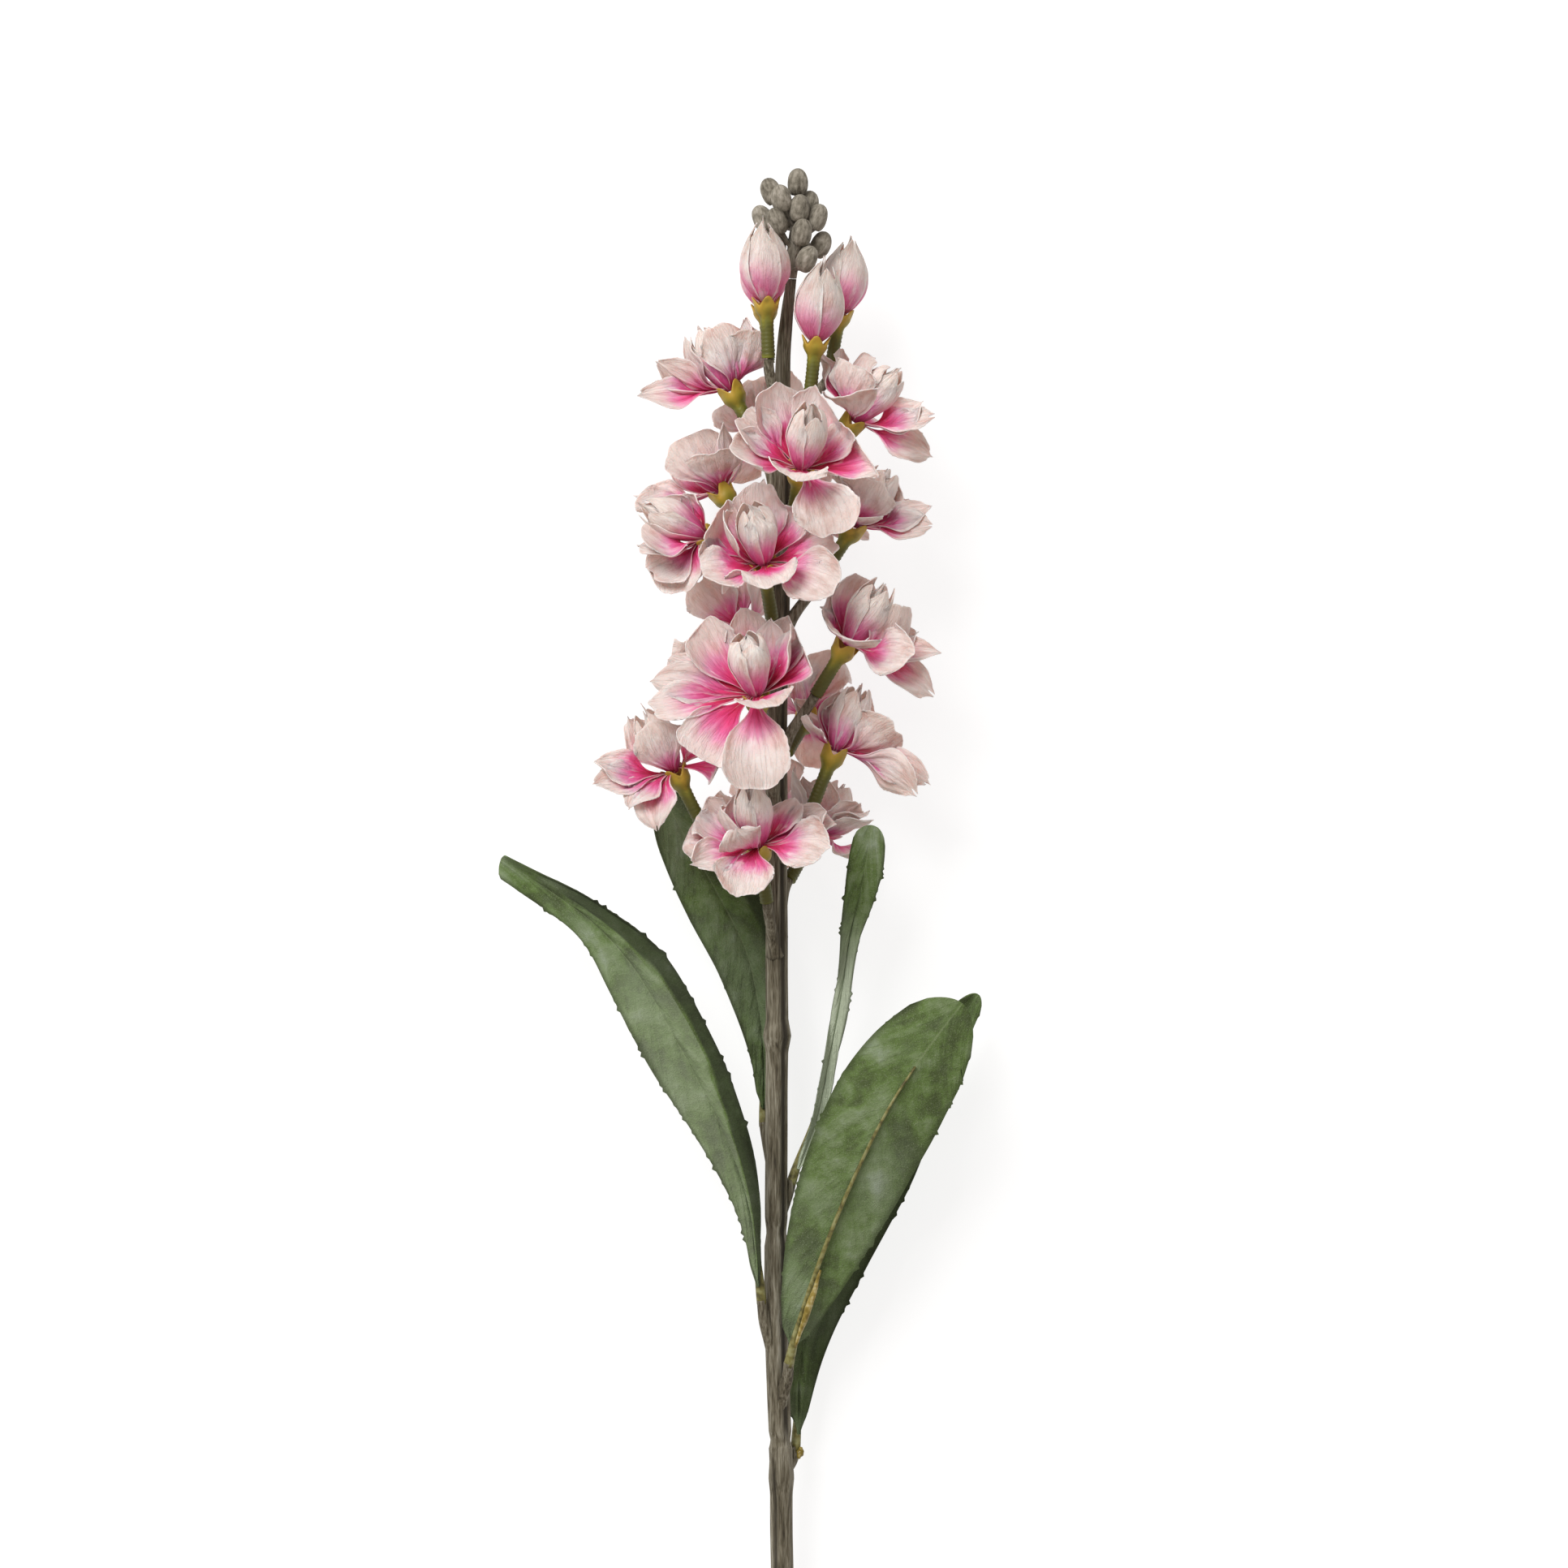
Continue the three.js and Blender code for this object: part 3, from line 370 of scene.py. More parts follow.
# How far the laid plant is from its place, read from the first calyx of the frame
shift = 1000 * np.array(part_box("bloom_calyx_01")[0]) - solidCalyxCorners(flowers[0]).min(axis=0)


def worldPoints(points):
    return (laidBack(points) + shift) / 1000


# One output of a shader node; sums and products of them add their own maths nodes
class Wire:
    def __init__(self, finish, socket):
        self.finish = finish
        self.socket = socket

    def maths(self, operation, first, second=0.0):
        return self.finish.node("ShaderNodeMath", {"operation": operation}, {0: first, 1: second})

    def __add__(self, other):
        return self.maths("ADD", self, other)

    def __sub__(self, other):
        return self.maths("SUBTRACT", self, other)

    def __mul__(self, other):
        return self.maths("MULTIPLY", self, other)

    def __pow__(self, other):
        return self.maths("POWER", self, other)

    def __rsub__(self, other):
        return self.maths("SUBTRACT", other, self)

    def __abs__(self):
        return self.maths("ABSOLUTE", self)

    __radd__ = __add__
    __rmul__ = __mul__


# A material, its shader and the nodes that feed it
class Finish:
    def __init__(self, name, **fixed):
        self.material = bpy.data.materials.new(name)
        self.material.use_nodes = True
        self.tree = self.material.node_tree
        self.shader = self.tree.nodes["Principled BSDF"]
        for socket, value in fixed.items():
            self.shader.inputs[socket].default_value = value

    def feed(self, socket, value):
        if isinstance(value, Wire):
            self.tree.links.new(value.socket, socket)
        else:
            socket.default_value = value

    def node(self, kind, settings=None, inputs=None, output=0):
        node = self.tree.nodes.new(kind)
        for name, value in (settings or {}).items():
            if name == "stops":
                while len(node.color_ramp.elements) < len(value):
                    node.color_ramp.elements.new(0.5)
                for element, (place, shade) in zip(node.color_ramp.elements, value):
                    element.position = place
                    element.color = shade
            else:
                setattr(node, name, value)
        for key, value in (inputs or {}).items():
            self.feed(node.inputs[key], value)
        return Wire(self, node.outputs[output])

    def set(self, socket, value):
        self.feed(self.shader.inputs[socket], value)

    # Across and along a sheet, from -1 to 1 and from 0 to 1
    def sheetPlace(self):
        uv = self.node("ShaderNodeUVMap", {"uv_map": "UVMap"})
        split = self.node("ShaderNodeSeparateXYZ", inputs={0: uv})
        along = Wire(self, split.socket.node.outputs[1])
        return split * 2 - 1, along

    def attribute(self, name):
        return self.node("ShaderNodeAttribute", {"attribute_name": name}, output=2)

    def vector(self, x, y, z):
        return self.node("ShaderNodeCombineXYZ", inputs={0: x, 1: y, 2: z})

    def noise(self, vector, scale, detail, roughness=0.5):
        inputs = {"Vector": vector, "Scale": scale, "Detail": detail, "Roughness": roughness}
        return self.node("ShaderNodeTexNoise", inputs=inputs)

    def objectPlace(self, stretch=(1, 1, 1)):
        place = self.node("ShaderNodeTexCoord", output=3)
        return self.node("ShaderNodeVectorMath", {"operation": "MULTIPLY"}, {0: place, 1: stretch})

    def between(self, value, low, high):
        inputs = {"Value": value, "From Min": low, "From Max": high}
        return self.node("ShaderNodeMapRange", {"interpolation_type": "SMOOTHSTEP"}, inputs)

    def ramp(self, value, stops):
        stops = [(place, colour(code)) for place, code in stops]
        return self.node("ShaderNodeValToRGB", {"stops": stops}, {0: value})

    def mix(self, factor, first, second, blend="MIX"):
        settings = {"data_type": "RGBA", "blend_type": blend}
        return self.node("ShaderNodeMix", settings, {0: factor, 6: first, 7: second}, output=2)

    def bump(self, height, distance, strength):
        inputs = {"Height": height, "Distance": distance, "Strength": strength}
        self.set("Normal", self.node("ShaderNodeBump", inputs=inputs))


# A linear colour from its six-figure code
def colour(code):
    shares = [int(code[i:i + 2], 16) / 255 for i in (1, 3, 5)]
    linear = [share / 12.92 if share <= 0.04045 else ((share + 0.055) / 1.055) ** 2.4 for share in shares]
    return (*linear, 1)


# Woven petals: pink spreads from the root, streaked along the petal and fading first at its edges,
# under fine veins that fan out from the root and the grain of the weave. Dusky patches over the
# folds are painted shade, and paler ones on their crests and along the rims are painted highlights
petalPaint = {
    "roughness": 0.72, "glow": 0.32, "glowRadius": (1.0, 0.45, 0.36), "glowScale": 0.002,
    "streaks": 0.21, "edgeFade": 0.16, "blush": 0.2, "veinShift": 0.02, "veinWidth": 0.045,
    # the colour and share of the painted shade over the folds, and how much the veins and grain darken
    "paintedShadeVeinsAndGrain": "#d2aea4", "paintedFoldShadeShare": 0.5, "veinDusk": 0.05, "grainDusk": 0.4,
    # the colour of the painted highlights on the folds' crests and along the rims, and their shares
    "light": "#f4e9e5", "paintedSheenShare": 0.5, "paintedRimHighlight": 0.45,
    "foldRelief": 1.1, "branchRelief": 0.25, "veinRelief": 0.12, "grainRelief": 0.14, "depth": 0.0011,
    "inside": [(0.0, "#9a0c33"), (0.18, "#bb1549"), (0.34, "#d93677"), (0.46, "#e2659b"),
               (0.56, "#e599b8"), (0.66, "#e3bfc3"), (0.8, "#e3d2ce"), (1.0, "#dccbc6")],
    "outside": [(0.0, "#ab1443"), (0.14, "#d13875"), (0.27, "#de699e"), (0.37, "#e39db8"),
                (0.47, "#e1c2c3"), (0.72, "#e2d0cb"), (1.0, "#d9c7c0")],
    "bud": [(0.0, "#cc3a6c"), (0.16, "#dc5f8d"), (0.3, "#e48fac"), (0.44, "#e2b3ba"),
            (0.58, "#dec5c0"), (0.8, "#d9c7bf"), (1.0, "#ccb8ad")],
    # painted light: the hearts' colours run lighter and pinker than the petals' so that the hearts stay
    # bright inside their own shade
    "heart": [(0.0, "#cf2c6b"), (0.16, "#e24f90"), (0.32, "#ee83b0"), (0.46, "#f2b6c5"),
              (0.6, "#f3d8d3"), (0.8, "#f1ded6"), (1.0, "#ead3ca")],
}


def petalFinish(name, stops):
    paint = petalPaint
    finish = Finish(name, Roughness=paint["roughness"])
    finish.set("Subsurface Weight", paint["glow"])
    finish.set("Subsurface Radius", paint["glowRadius"])
    finish.set("Subsurface Scale", paint["glowScale"])
    across, along = finish.sheetPlace()
    tone = finish.attribute("tone")
    blush = finish.attribute("blush")
    streaks = finish.noise(finish.vector(across * 4 + tone * 17, along * 1.3, tone * 9), 1.0, 3.0)
    fan = finish.vector(across * 9 + tone * 5, along * 2.6 + abs(across), tone * 31)
    branches = finish.noise(fan, 1.0, 3.0)
    folds = finish.noise(finish.vector(across * 2.1 + tone * 3, along * 2.8, tone * 13), 1.0, 3.0, 0.55)
    grain = finish.noise(finish.objectPlace(), 2600.0, 2.0, 0.6)
    vein = 1 - finish.between(abs(branches - 0.5), 0.0, paint["veinWidth"])
    reach = (along + abs(across) ** 3 * paint["edgeFade"] - (streaks - 0.5) * paint["streaks"]
             - blush * paint["blush"] - vein * paint["veinShift"])
    base = finish.ramp(reach, stops)
    # painted shade: dusky patches over the folds darken the colour, together with the veins and the grain of
    # the weave
    paintedShadeVeinsAndGrain = (finish.between(folds + tone * 0.05, 0.48, 0.74) * paint["paintedFoldShadeShare"]
            + vein * paint["veinDusk"] + (grain - 0.5) * paint["grainDusk"])
    baseWithPaintedShade = finish.mix(paintedShadeVeinsAndGrain, base, colour(paint["paintedShadeVeinsAndGrain"]), "MULTIPLY")
    # painted highlights: paler colour on the folds' crests and along the petal's rims
    rim = finish.between(abs(across), 0.9, 1.0) + finish.between(along, 0.955, 1.0)
    light = finish.between(folds * -1, -0.46, -0.28) * paint["paintedSheenShare"] + rim * paint["paintedRimHighlight"]
    finish.set("Base Color", finish.mix(light, baseWithPaintedShade, colour(paint["light"])))
    relief = (folds * paint["foldRelief"] + branches * paint["branchRelief"]
              - vein * paint["veinRelief"] + grain * paint["grainRelief"])
    finish.bump(relief, paint["depth"], 0.8)
    return finish.material


calyxPaint = {
    "roughness": 0.5, "patch": "#3f4512", "patchShare": 0.5,
    "stops": [(0.0, "#787a1f"), (0.06, "#505011"), (0.44, "#575614"), (0.56, "#72701e"),
              (0.68, "#968524"), (0.8, "#b0902c"), (1.0, "#bb9a38")],
}


def calyxFinish():
    finish = Finish("moulded calyx", Roughness=calyxPaint["roughness"])
    along = finish.sheetPlace()[1]
    patches = finish.noise(finish.objectPlace(), 260.0, 3.0)
    place = along + (patches - 0.5) * 0.1 + finish.attribute("tone") * 0.03
    base = finish.ramp(place, calyxPaint["stops"])
    share = finish.between(patches, 0.5, 0.8) * calyxPaint["patchShare"]
    finish.set("Base Color", finish.mix(share, base, colour(calyxPaint["patch"])))
    finish.bump(patches, 0.0003, 0.5)
    return finish.material


# Dusty woven leaves, patched and ridged; a pale share below nought is painted shade: the dark side of a
# fold, and leaves that lie in shade
leafPaint = {
    "roughness": 0.88,
    "stops": [(0.3, "#333e1c"), (0.43, "#48582a"), (0.51, "#5b7238"), (0.6, "#74865c"), (0.74, "#99a692")],
    "haze": "#707d63", "hazeShare": 0.45, "pale": "#b9c4ac", "nap": "#a0a88e", "napShare": 0.38,
    "edge": "#2f391a", "edgeShare": 0.6, "spine": "#93a07a", "spineShare": 0.35,
    # fold: the colour of painted shade on a fold's dark side and on leaves that lie in shade
    "fold": "#232a16", "foldShare": 0.8, "depth": 0.0014,
}


def leafFinish():
    paint = leafPaint
    finish = Finish("dusty leaf", Roughness=paint["roughness"])
    across, along = finish.sheetPlace()
    pale = finish.attribute("blush")
    place = finish.objectPlace()
    patches = finish.noise(place, 85.0, 4.0, 0.62)
    rows = finish.vector(across * 1.2, along * 16 + abs(across) * 3, finish.attribute("tone") * 8)
    ridges = finish.noise(rows, 1.0, 3.0)
    haze = finish.noise(place, 38.0, 3.0, 0.6)
    nap = finish.noise(place, 2600.0, 2.0, 0.7)
    shares = {
        "haze": finish.between(haze, 0.42, 0.66) * paint["hazeShare"],
        "pale": pale,
        "nap": finish.between(nap, 0.5, 0.75) * paint["napShare"],
        "edge": finish.between(abs(across), 0.84, 1.0) * paint["edgeShare"],
        "spine": (1 - finish.between(abs(across), 0.0, 0.04)) * paint["spineShare"],
        # painted shade: the fold's dark side, and whole leaves that lie in shade
        "fold": finish.between(pale * -1, 0.0, 1.0) * paint["foldShare"],
    }
    base = finish.ramp(patches * 0.72 + ridges * 0.28, paint["stops"])
    for layer, share in shares.items():
        base = finish.mix(share, base, colour(paint[layer]))
    finish.set("Base Color", base)
    finish.bump(nap * 0.3 + patches * 1.5 + ridges * 1.1, paint["depth"], 0.8)
    return finish.material


# The finish of ribs and dried glue, patched in shades of one colour
def patchyFinish(name, roughness, scale, detail, stops):
    finish = Finish(name, Roughness=roughness)
    patches = finish.noise(finish.objectPlace(), scale, detail)
    finish.set("Base Color", finish.ramp(patches, stops))
    return finish, patches


def ribFinish():
    stops = [(0.34, "#4f4a22"), (0.5, "#77713a"), (0.64, "#8b8a5c")]
    finish, patches = patchyFinish("moulded rib", 0.6, 420.0, 3.0, stops)
    finish.bump(patches, 0.0004, 0.6)
    return finish.material


def glueFinish():
    stops = [(0.38, "#77651f"), (0.5, "#93803a"), (0.64, "#b5a878")]
    return patchyFinish("dried glue", 0.35, 500.0, 2.0, stops)[0].material


stemPaint = {
    "roughness": 0.82, "stretch": (1, 0.045, 1), "stainStretch": (1, 0.22, 1), "paintedGrooveShade": "#2a2417",
    "stops": [(0.34, "#332c1d"), (0.44, "#5b5442"), (0.54, "#807a69"), (0.66, "#a5a192")],
}


def stemFinish():
    paint = stemPaint
    finish = Finish("fibrous stem", Roughness=paint["roughness"])
    fibres = finish.noise(finish.objectPlace(paint["stretch"]), 1500.0, 3.0, 0.65)
    stains = finish.noise(finish.objectPlace(paint["stainStretch"]), 150.0, 3.0)
    base = finish.ramp(fibres * 0.62 + stains * 0.38, paint["stops"])
    # painted shade: the grooves darken towards a near-black brown, patchy with the stains
    paintedGrooveShade = finish.attribute("blush") * (0.72 + stains * 0.46)
    finish.set("Base Color", finish.mix(paintedGrooveShade, base, colour(paint["paintedGrooveShade"])))
    finish.bump(fibres, 0.0006, 0.9)
    return finish.material


tipPaint = {
    "roughness": 0.88,
    "stops": [(0.32, "#4b4438"), (0.44, "#736d60"), (0.56, "#918a7d"), (0.7, "#b0a99e")],
}


def tipFinish():
    finish = Finish("dusty buds", Roughness=tipPaint["roughness"])
    across, along = finish.sheetPlace()
    tone = finish.attribute("tone")
    fibres = finish.noise(finish.vector(across * 9, along * 4, tone * 20), 1.0, 3.0, 0.6)
    patches = finish.noise(finish.objectPlace(), 330.0, 2.0)
    finish.set("Base Color", finish.ramp(fibres * 0.6 + patches * 0.4 + tone * 0.04, tipPaint["stops"]))
    finish.bump(fibres, 0.0006, 0.8)
    return finish.material


finishes = {
    "inside": petalFinish("petal face", petalPaint["inside"]),
    "outside": petalFinish("petal back", petalPaint["outside"]),
    "bud": petalFinish("bud petal", petalPaint["bud"]),
    "heart": petalFinish("heart petal painted lighter", petalPaint["heart"]),
    "calyx": calyxFinish(),
    "leaf": leafFinish(),
    "rib": ribFinish(),
    "stem": stemFinish(),
    "tip": tipFinish(),
    "glue": glueFinish(),
}
print("stage: finishes made")

sheets = []  # flat sheets from which pieces are shaped, removed once all are made


def selectOnly(*pieces):
    bpy.ops.object.select_all(action="DESELECT")
    for piece in pieces:
        piece.select_set(True)
    if pieces:
        bpy.context.view_layer.objects.active = pieces[0]


def flatSheet(rows, columns, *names):
    selectOnly()
    bpy.ops.mesh.primitive_grid_add(x_subdivisions=columns, y_subdivisions=rows, size=2)
    sheet = bpy.context.object
    for name in names:
        sheet.data.materials.append(finishes[name])
    bpy.ops.object.shade_smooth()
    sheets.append(sheet)
    return sheet


# A copy of a sheet, with its vertices where a form puts them: a form takes s, from 0 to 1 along the
# sheet, and t, from -1 to 1 across it. Tone and blush are numbers or are worked out in the same way
def shaped(sheet, form, tone=0.0, blush=0.0):
    piece = sheet.copy()
    piece.data = sheet.data.copy()
    bpy.context.collection.objects.link(piece)
    count = len(piece.data.vertices)
    places = np.empty(3 * count)
    piece.data.vertices.foreach_get("co", places)
    t, s = places.reshape(-1, 3).T[:2]
    s = (s + 1) / 2
    piece.data.vertices.foreach_set("co", worldPoints(form(s, t)).ravel())
    for name, value in (("tone", tone), ("blush", blush)):
        layer = piece.data.attributes.new(name, "FLOAT", "POINT")
        spread = value(s, t) if callable(value) else value
        layer.data.foreach_set("value", np.zeros(count) + spread)
    piece.data.update()
    return piece


def joined(pieces, name):
    selectOnly(*pieces)
    if len(pieces) > 1:
        bpy.ops.object.join()
    whole = bpy.context.object
    whole.name = name
    whole.data.name = name
    return whole


# Merges the seam and the poles of shapes that close on themselves
def sewn(piece):
    selectOnly(piece)
    bpy.ops.object.mode_set(mode="EDIT")
    bpy.ops.mesh.select_all(action="SELECT")
    bpy.ops.mesh.remove_doubles(threshold=plant["seam"] / 1000)
    bpy.ops.object.mode_set(mode="OBJECT")
    return piece


def thickened(piece, thickness, backSlot):
    layer = piece.modifiers.new("thickness", "SOLIDIFY")
    layer.thickness = thickness / 1000
    layer.offset = 0
    layer.material_offset = backSlot
    selectOnly(piece)
    bpy.ops.object.modifier_apply(modifier=layer.name)
    bpy.ops.object.shade_smooth_by_angle(angle=plant["sharpAngle"] * degrees)
    return piece


def finished(piece, slot, *nodes):
    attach(piece, "root")
    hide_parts(*nodes)


# The share of a tube's length at s, with its first two and last two rows of points at its ends
def tubeRun(s, rows):
    return np.clip((s * rows - 1) / (rows - 2), 0, 1)


# A tube's radius, closed to nothing at its first and last rows
def closedRadius(s, rows, radius):
    return np.where((s < 0.5 / rows) | (s > 1 - 0.5 / rows), 0, radius)


# A round form along a path: s runs along it and t once round, with both ends closed at their middles
def tubeForm(pathAt, radiusAt, reference, rows):
    step = 0.004

    def form(s, t):
        run = tubeRun(s, rows)
        ahead = unitRows(pathAt(np.minimum(run + step, 1)) - pathAt(np.maximum(run - step, 0)))
        right = squareTo(ahead, reference)
        angle = math.pi * t
        radius = closedRadius(s, rows, radiusAt(run, angle))
        return roundPoints(pathAt(run), right, np.cross(ahead, right), radius, angle)
    return form


# Open petals of the front blooms: each tip's place to the right of the flower's base, above it and
# in front of it, the petal's width, how far its inner face turns to the front (or its back, below
# nought), and the curl of its tip; a seventh number is how much its pink spreads
placedPetals = {
    1: [[6, 20, 6, 19, -0.8, 0.1], [-7, 21, 5, 17, -0.6, 0.1], [-29.5, -1.5, 8, 13, 0.6, 0.3],
        [-24, 10, 3, 13, -0.5, 0.3], [3, 26, -5, 15, 0.2, 0.1], [-25, 3, 0, 13, 0.3, 0.2],
        [-6, 6, -18, 16, 0, 0.3], [9, 23, -7, 13, 0, 0], [-15, 18, -2, 13, -0.3, 0.2]],
    2: [[3, 21, 9, 18, -0.7, 0.1], [-3, 8, 15, 20, -0.7, 0.3], [8, 23, 1, 15, -0.4, 0],
        [22, 7, 3, 15, 0.6, 0.2], [26, 2, 8, 13, 0.5, 0.4], [25, -10, 2, 13, 0.7, 0.3],
        [5, 5, -18, 16, 0, 0.3], [-3, 24, -3, 14, 0.2, 0.1], [-10, 24, -4, 13, 0.3, 0.1]],
    3: [[-9, 28.5, -2, 22, 0, 0.1], [9, 28, -3, 20, 0, 0.1], [-19, 18, 5, 20, 0.3, 0.3],
        [-22, 6.5, 13, 19, 0.3, 0.3], [29, 7, 7, 20, 0.5, 0.2], [-2.5, -3, 21, 19, 0, 0.9],
        [9, -21, 12, 23, 0.8, 0.2, -0.9], [18, 17, 2, 16, 0.2, 0.2]],
    4: [[-14, 19, 5, 23, -0.8, 0.1], [-2, 13, 13, 19, -0.8, 0.2], [-28, 0, 0, 15, 0.5, 0.3],
        [-27, -8, 6, 16, 0.6, 0.3], [-1, 24, -3, 15, 0, 0.1], [-17, 14, -12, 15, 0, 0.2],
        [4, 8, -16, 15, 0, 0.3]],
    5: [[8, 15, 8, 20, -0.7, 0.2], [25, 7, 4, 13, 0.6, 0.5], [25, 1, 8, 13, 0.6, 0.4],
        [14, 16, -4, 15, 0.2, 0.1], [-3, 17, 2, 15, 0, 0.1], [-1, 3, 14, 18, -0.5, 0.5],
        [18, 10, -10, 15, 0, 0.2], [3, 20, -6, 15, 0, 0.1]],
    6: [[-1, 27, -3, 19, 0, 0.1], [-22, 20, -2, 20, 0.5, 0.2], [-12, 17.5, 11, 14, -0.1, 0.2],
        [-19, -2, 13, 19, 0.5, 0.2], [4, -6, 19, 21, 0.2, 0.4], [22, -8.5, 13, 22, 0.7, 0.3, -0.4],
        [23.5, 8.5, 2.5, 17, 0.5, 0.1], [-12, -8, 4, 16, -0.4, 0.3], [11, 21, -3, 16, 0.2, 0.2],
        [-27, 9, 4, 12, 0.2, 0.1]],
    7: [[-20, 4, 6, 20, 0.6, 0.2], [-22, -2, 9, 13, 0.5, 0.3], [-18.5, -12, 6, 17, 0.7, 0.3],
        [-8, -18, 8, 20, 0.6, 0.3], [-18, 10, -2, 15, 0.3, 0.2], [-10, -16, -4, 15, 0, 0.2],
        [-8, 14, -2, 15, 0, 0.1]],
    8: [[6, 23, -4, 20, 0.2, 0.1], [18, 13.5, 5, 19, -0.6, 0.1], [-2, 3, 17, 20, 0, 0.9],
        [21, -3, 11, 19, 0.7, 0.4], [30, -1.5, 0, 13, 0.4, 0.3], [28, -14.5, 3, 13, 0.5, 0.2],
        [23, 5, -6, 15, 0.4, 0.2], [-7, 13, 4, 15, 0.2, 0.1], [-3, 17, -3, 15, 0.2, 0.1]],
    9: [[-20, 26, -2, 19, 0.5, 0.1], [14, 27, -2, 18, 0.1, 0.1], [10, 23.5, 8, 14, -0.1, 0.1],
        [22, 19, 6, 15, 0.3, 0.2], [5, -2.5, 20, 19, 0, 0.9], [-34, 6, 0, 15, 0.5, 0.3],
        [-34, -4, 6, 16, 0.5, 0.3], [-20, -21.5, 9, 21, 0.9, 0.3, 0.1], [2, -28, 13, 22, 0.9, 0.3, -0.7],
        [-4, 28.5, -3, 16, 0.1, 0], [4, 25, 0, 14, 0, 0], [-29, 14, -6, 13, 0.4, 0.2]],
    10: [[-9, 16, 10, 18, -0.5, 0.15], [-26, 4, 6, 13, 0.6, 0.5], [-26, -3, 9, 13, 0.6, 0.4],
        [-14.5, -10.5, 12, 13, 0.6, 0.4], [-5.5, -17, 13, 15, 0.7, 0.3], [27, -5, 8, 14, 0.8, 0.1],
        [10, 12, -6, 16, 0.3, 0.1], [-15, 18, -6, 15, 0.3, 0.2]],
    11: [[20, 9, 6, 20, -0.7, 0.3], [5, 17, -3, 16, 0, 0.1], [30, -9.5, 4, 13, 0.7, 0.3],
        [26, -13, 9, 15, -0.7, 0.3], [-13, 17, -4, 15, 0.3, 0.1], [23, -3, -3, 15, 0.5, 0.2],
        [8, 6, -18, 16, 0, 0.3], [-12, 12, 9, 12, 0, 0.2], [2, 20, -5, 13, 0, 0]],
    12: [[-22, 14, -2, 19, 0.4, 0.1], [-27, 7, 0, 17, 0.4, 0.2], [-21, -4, 12, 13, 0.6, 0.2],
        [-7, 7, 16, 15, -0.8, -0.3], [-4.5, -14, 14, 21, 0.7, 0.2], [21, -1, 13, 19, 0.6, 0.4],
        [22, 13, 1.5, 15, 0.4, 0.1], [-8, 17, -3, 16, 0, 0], [-12, 14, 9, 12, -0.1, 0],
        [12, 16, -2, 16, 0, 0.1], [28, 12, -4, 13, 0.4, 0.3]],
    13: [[18, 9.5, 8, 12, 0.4, 0.4], [15, 12, 4, 13, 0.4, 0.2], [19, 6.5, 7, 13, 0.4, 0.3],
        [14, -8, 7, 13, 0.5, 0.2], [-3, 20, 2, 15, 0.2, 0], [4, 20, 0, 15, 0, 0.1],
        [6, 4, -12, 15, 0, 0.3], [-8, 24, 0, 15, 0.2, 0]],
}
# The rear blooms: two whorls of petals alike, each with its tips this far out and up from the base
rearWhorls = [
    {"petals": 4, "out": 24, "up": 4, "standOut": 13, "standUp": 23, "width": 19, "turn": 0, "curl": 0.25},
    {"petals": 2, "out": 14, "up": 18, "standOut": 9, "standUp": 21, "width": 16, "turn": 45, "curl": 0.1},
]
petalLook = {
    "rows": 34, "columns": 24, "thickness": 0.3, "rootOut": 2, "rootUp": 2.2, "cup": 15, "cupVaries": 0.25,
    "bow": 1.3, "leavePull": 0.38, "arrivePull": 0.34, "widthVaries": 0.05, "uneven": 0.12,
    "round": [[0, 0.06], [0.2, 0.25], [0.45, 0.8], [0.7, 1.0], [0.86, 0.98], [1, 0.82]],
    "pointed": [[0, 0.08], [0.25, 0.4], [0.5, 1.0], [0.73, 0.82], [0.88, 0.44], [1, 0.05]],
    "pointedBelow": 15.5, "pointedBlunt": 0.3, "tipRound": 0.3, "tipVaries": 0.07, "notch": 0.05,
    "scallop": 0.02, "fray": 0.2, "wave": 0.8, "crease": 0.26, "ripple": 1.1, "lip": 1.3, "pleat": 0.13,
    "vein": 0.35, "veinWidth": 0.07, "blushVaries": 0.4, "rearTurnVaries": 5, "rearTipVaries": 1.5,
}
roundWidthAt = through(petalLook["round"])
pointedWidthAt = through(petalLook["pointed"])


# Petals of a rear bloom, which stand more upright the nearer they are to its top
def rearPetals(flower):
    petals = []
    for whorl in rearWhorls:
        for order in range(whorl["petals"]):
            key = 900 + 20 * flower["number"] + len(petals)
            turn = flower["turn"] + whorl["turn"] + 360 * order / whorl["petals"]
            turn = (turn + petalLook["rearTurnVaries"] * draw(key, 1)) * degrees
            stand = max(0, math.sin(turn))
            stray = petalLook["rearTipVaries"]
            out = whorl["out"] + (whorl["standOut"] - whorl["out"]) * stand + stray * draw(key, 2)
            up = whorl["up"] + (whorl["standUp"] - whorl["up"]) * stand + stray * draw(key, 3)
            tip = outwardAt(flower, turn) * out + flower["axis"] * up
            petals.append([*tip, whorl["width"], 0, whorl["curl"]])
    return petals


# The curve along a petal's middle: it springs from the flower's base between its axis and the side
# that the tip is on, and arches over to the tip. With it come that side and the petal's length
def petalLine(flower, tip, curl):
    axis = flower["axis"]
    outward = unit(tip - axis * (tip @ axis))
    root = outward * petalLook["rootOut"] + axis * petalLook["rootUp"]
    length = np.linalg.norm(tip - root)
    chord = (tip - root) / length
    leave = unit(chord + petalLook["bow"] * outward)
    arrive = unit(2 * (chord @ leave) * chord - leave)
    back = outward * (arrive @ axis) - axis * (arrive @ outward)
    arrive = unit(arrive + curl * back)
    bends = [root + leave * petalLook["leavePull"] * length, tip - arrive * petalLook["arrivePull"] * length]
    return [flower["base"] + point for point in [root] + bends + [tip]], outward, length


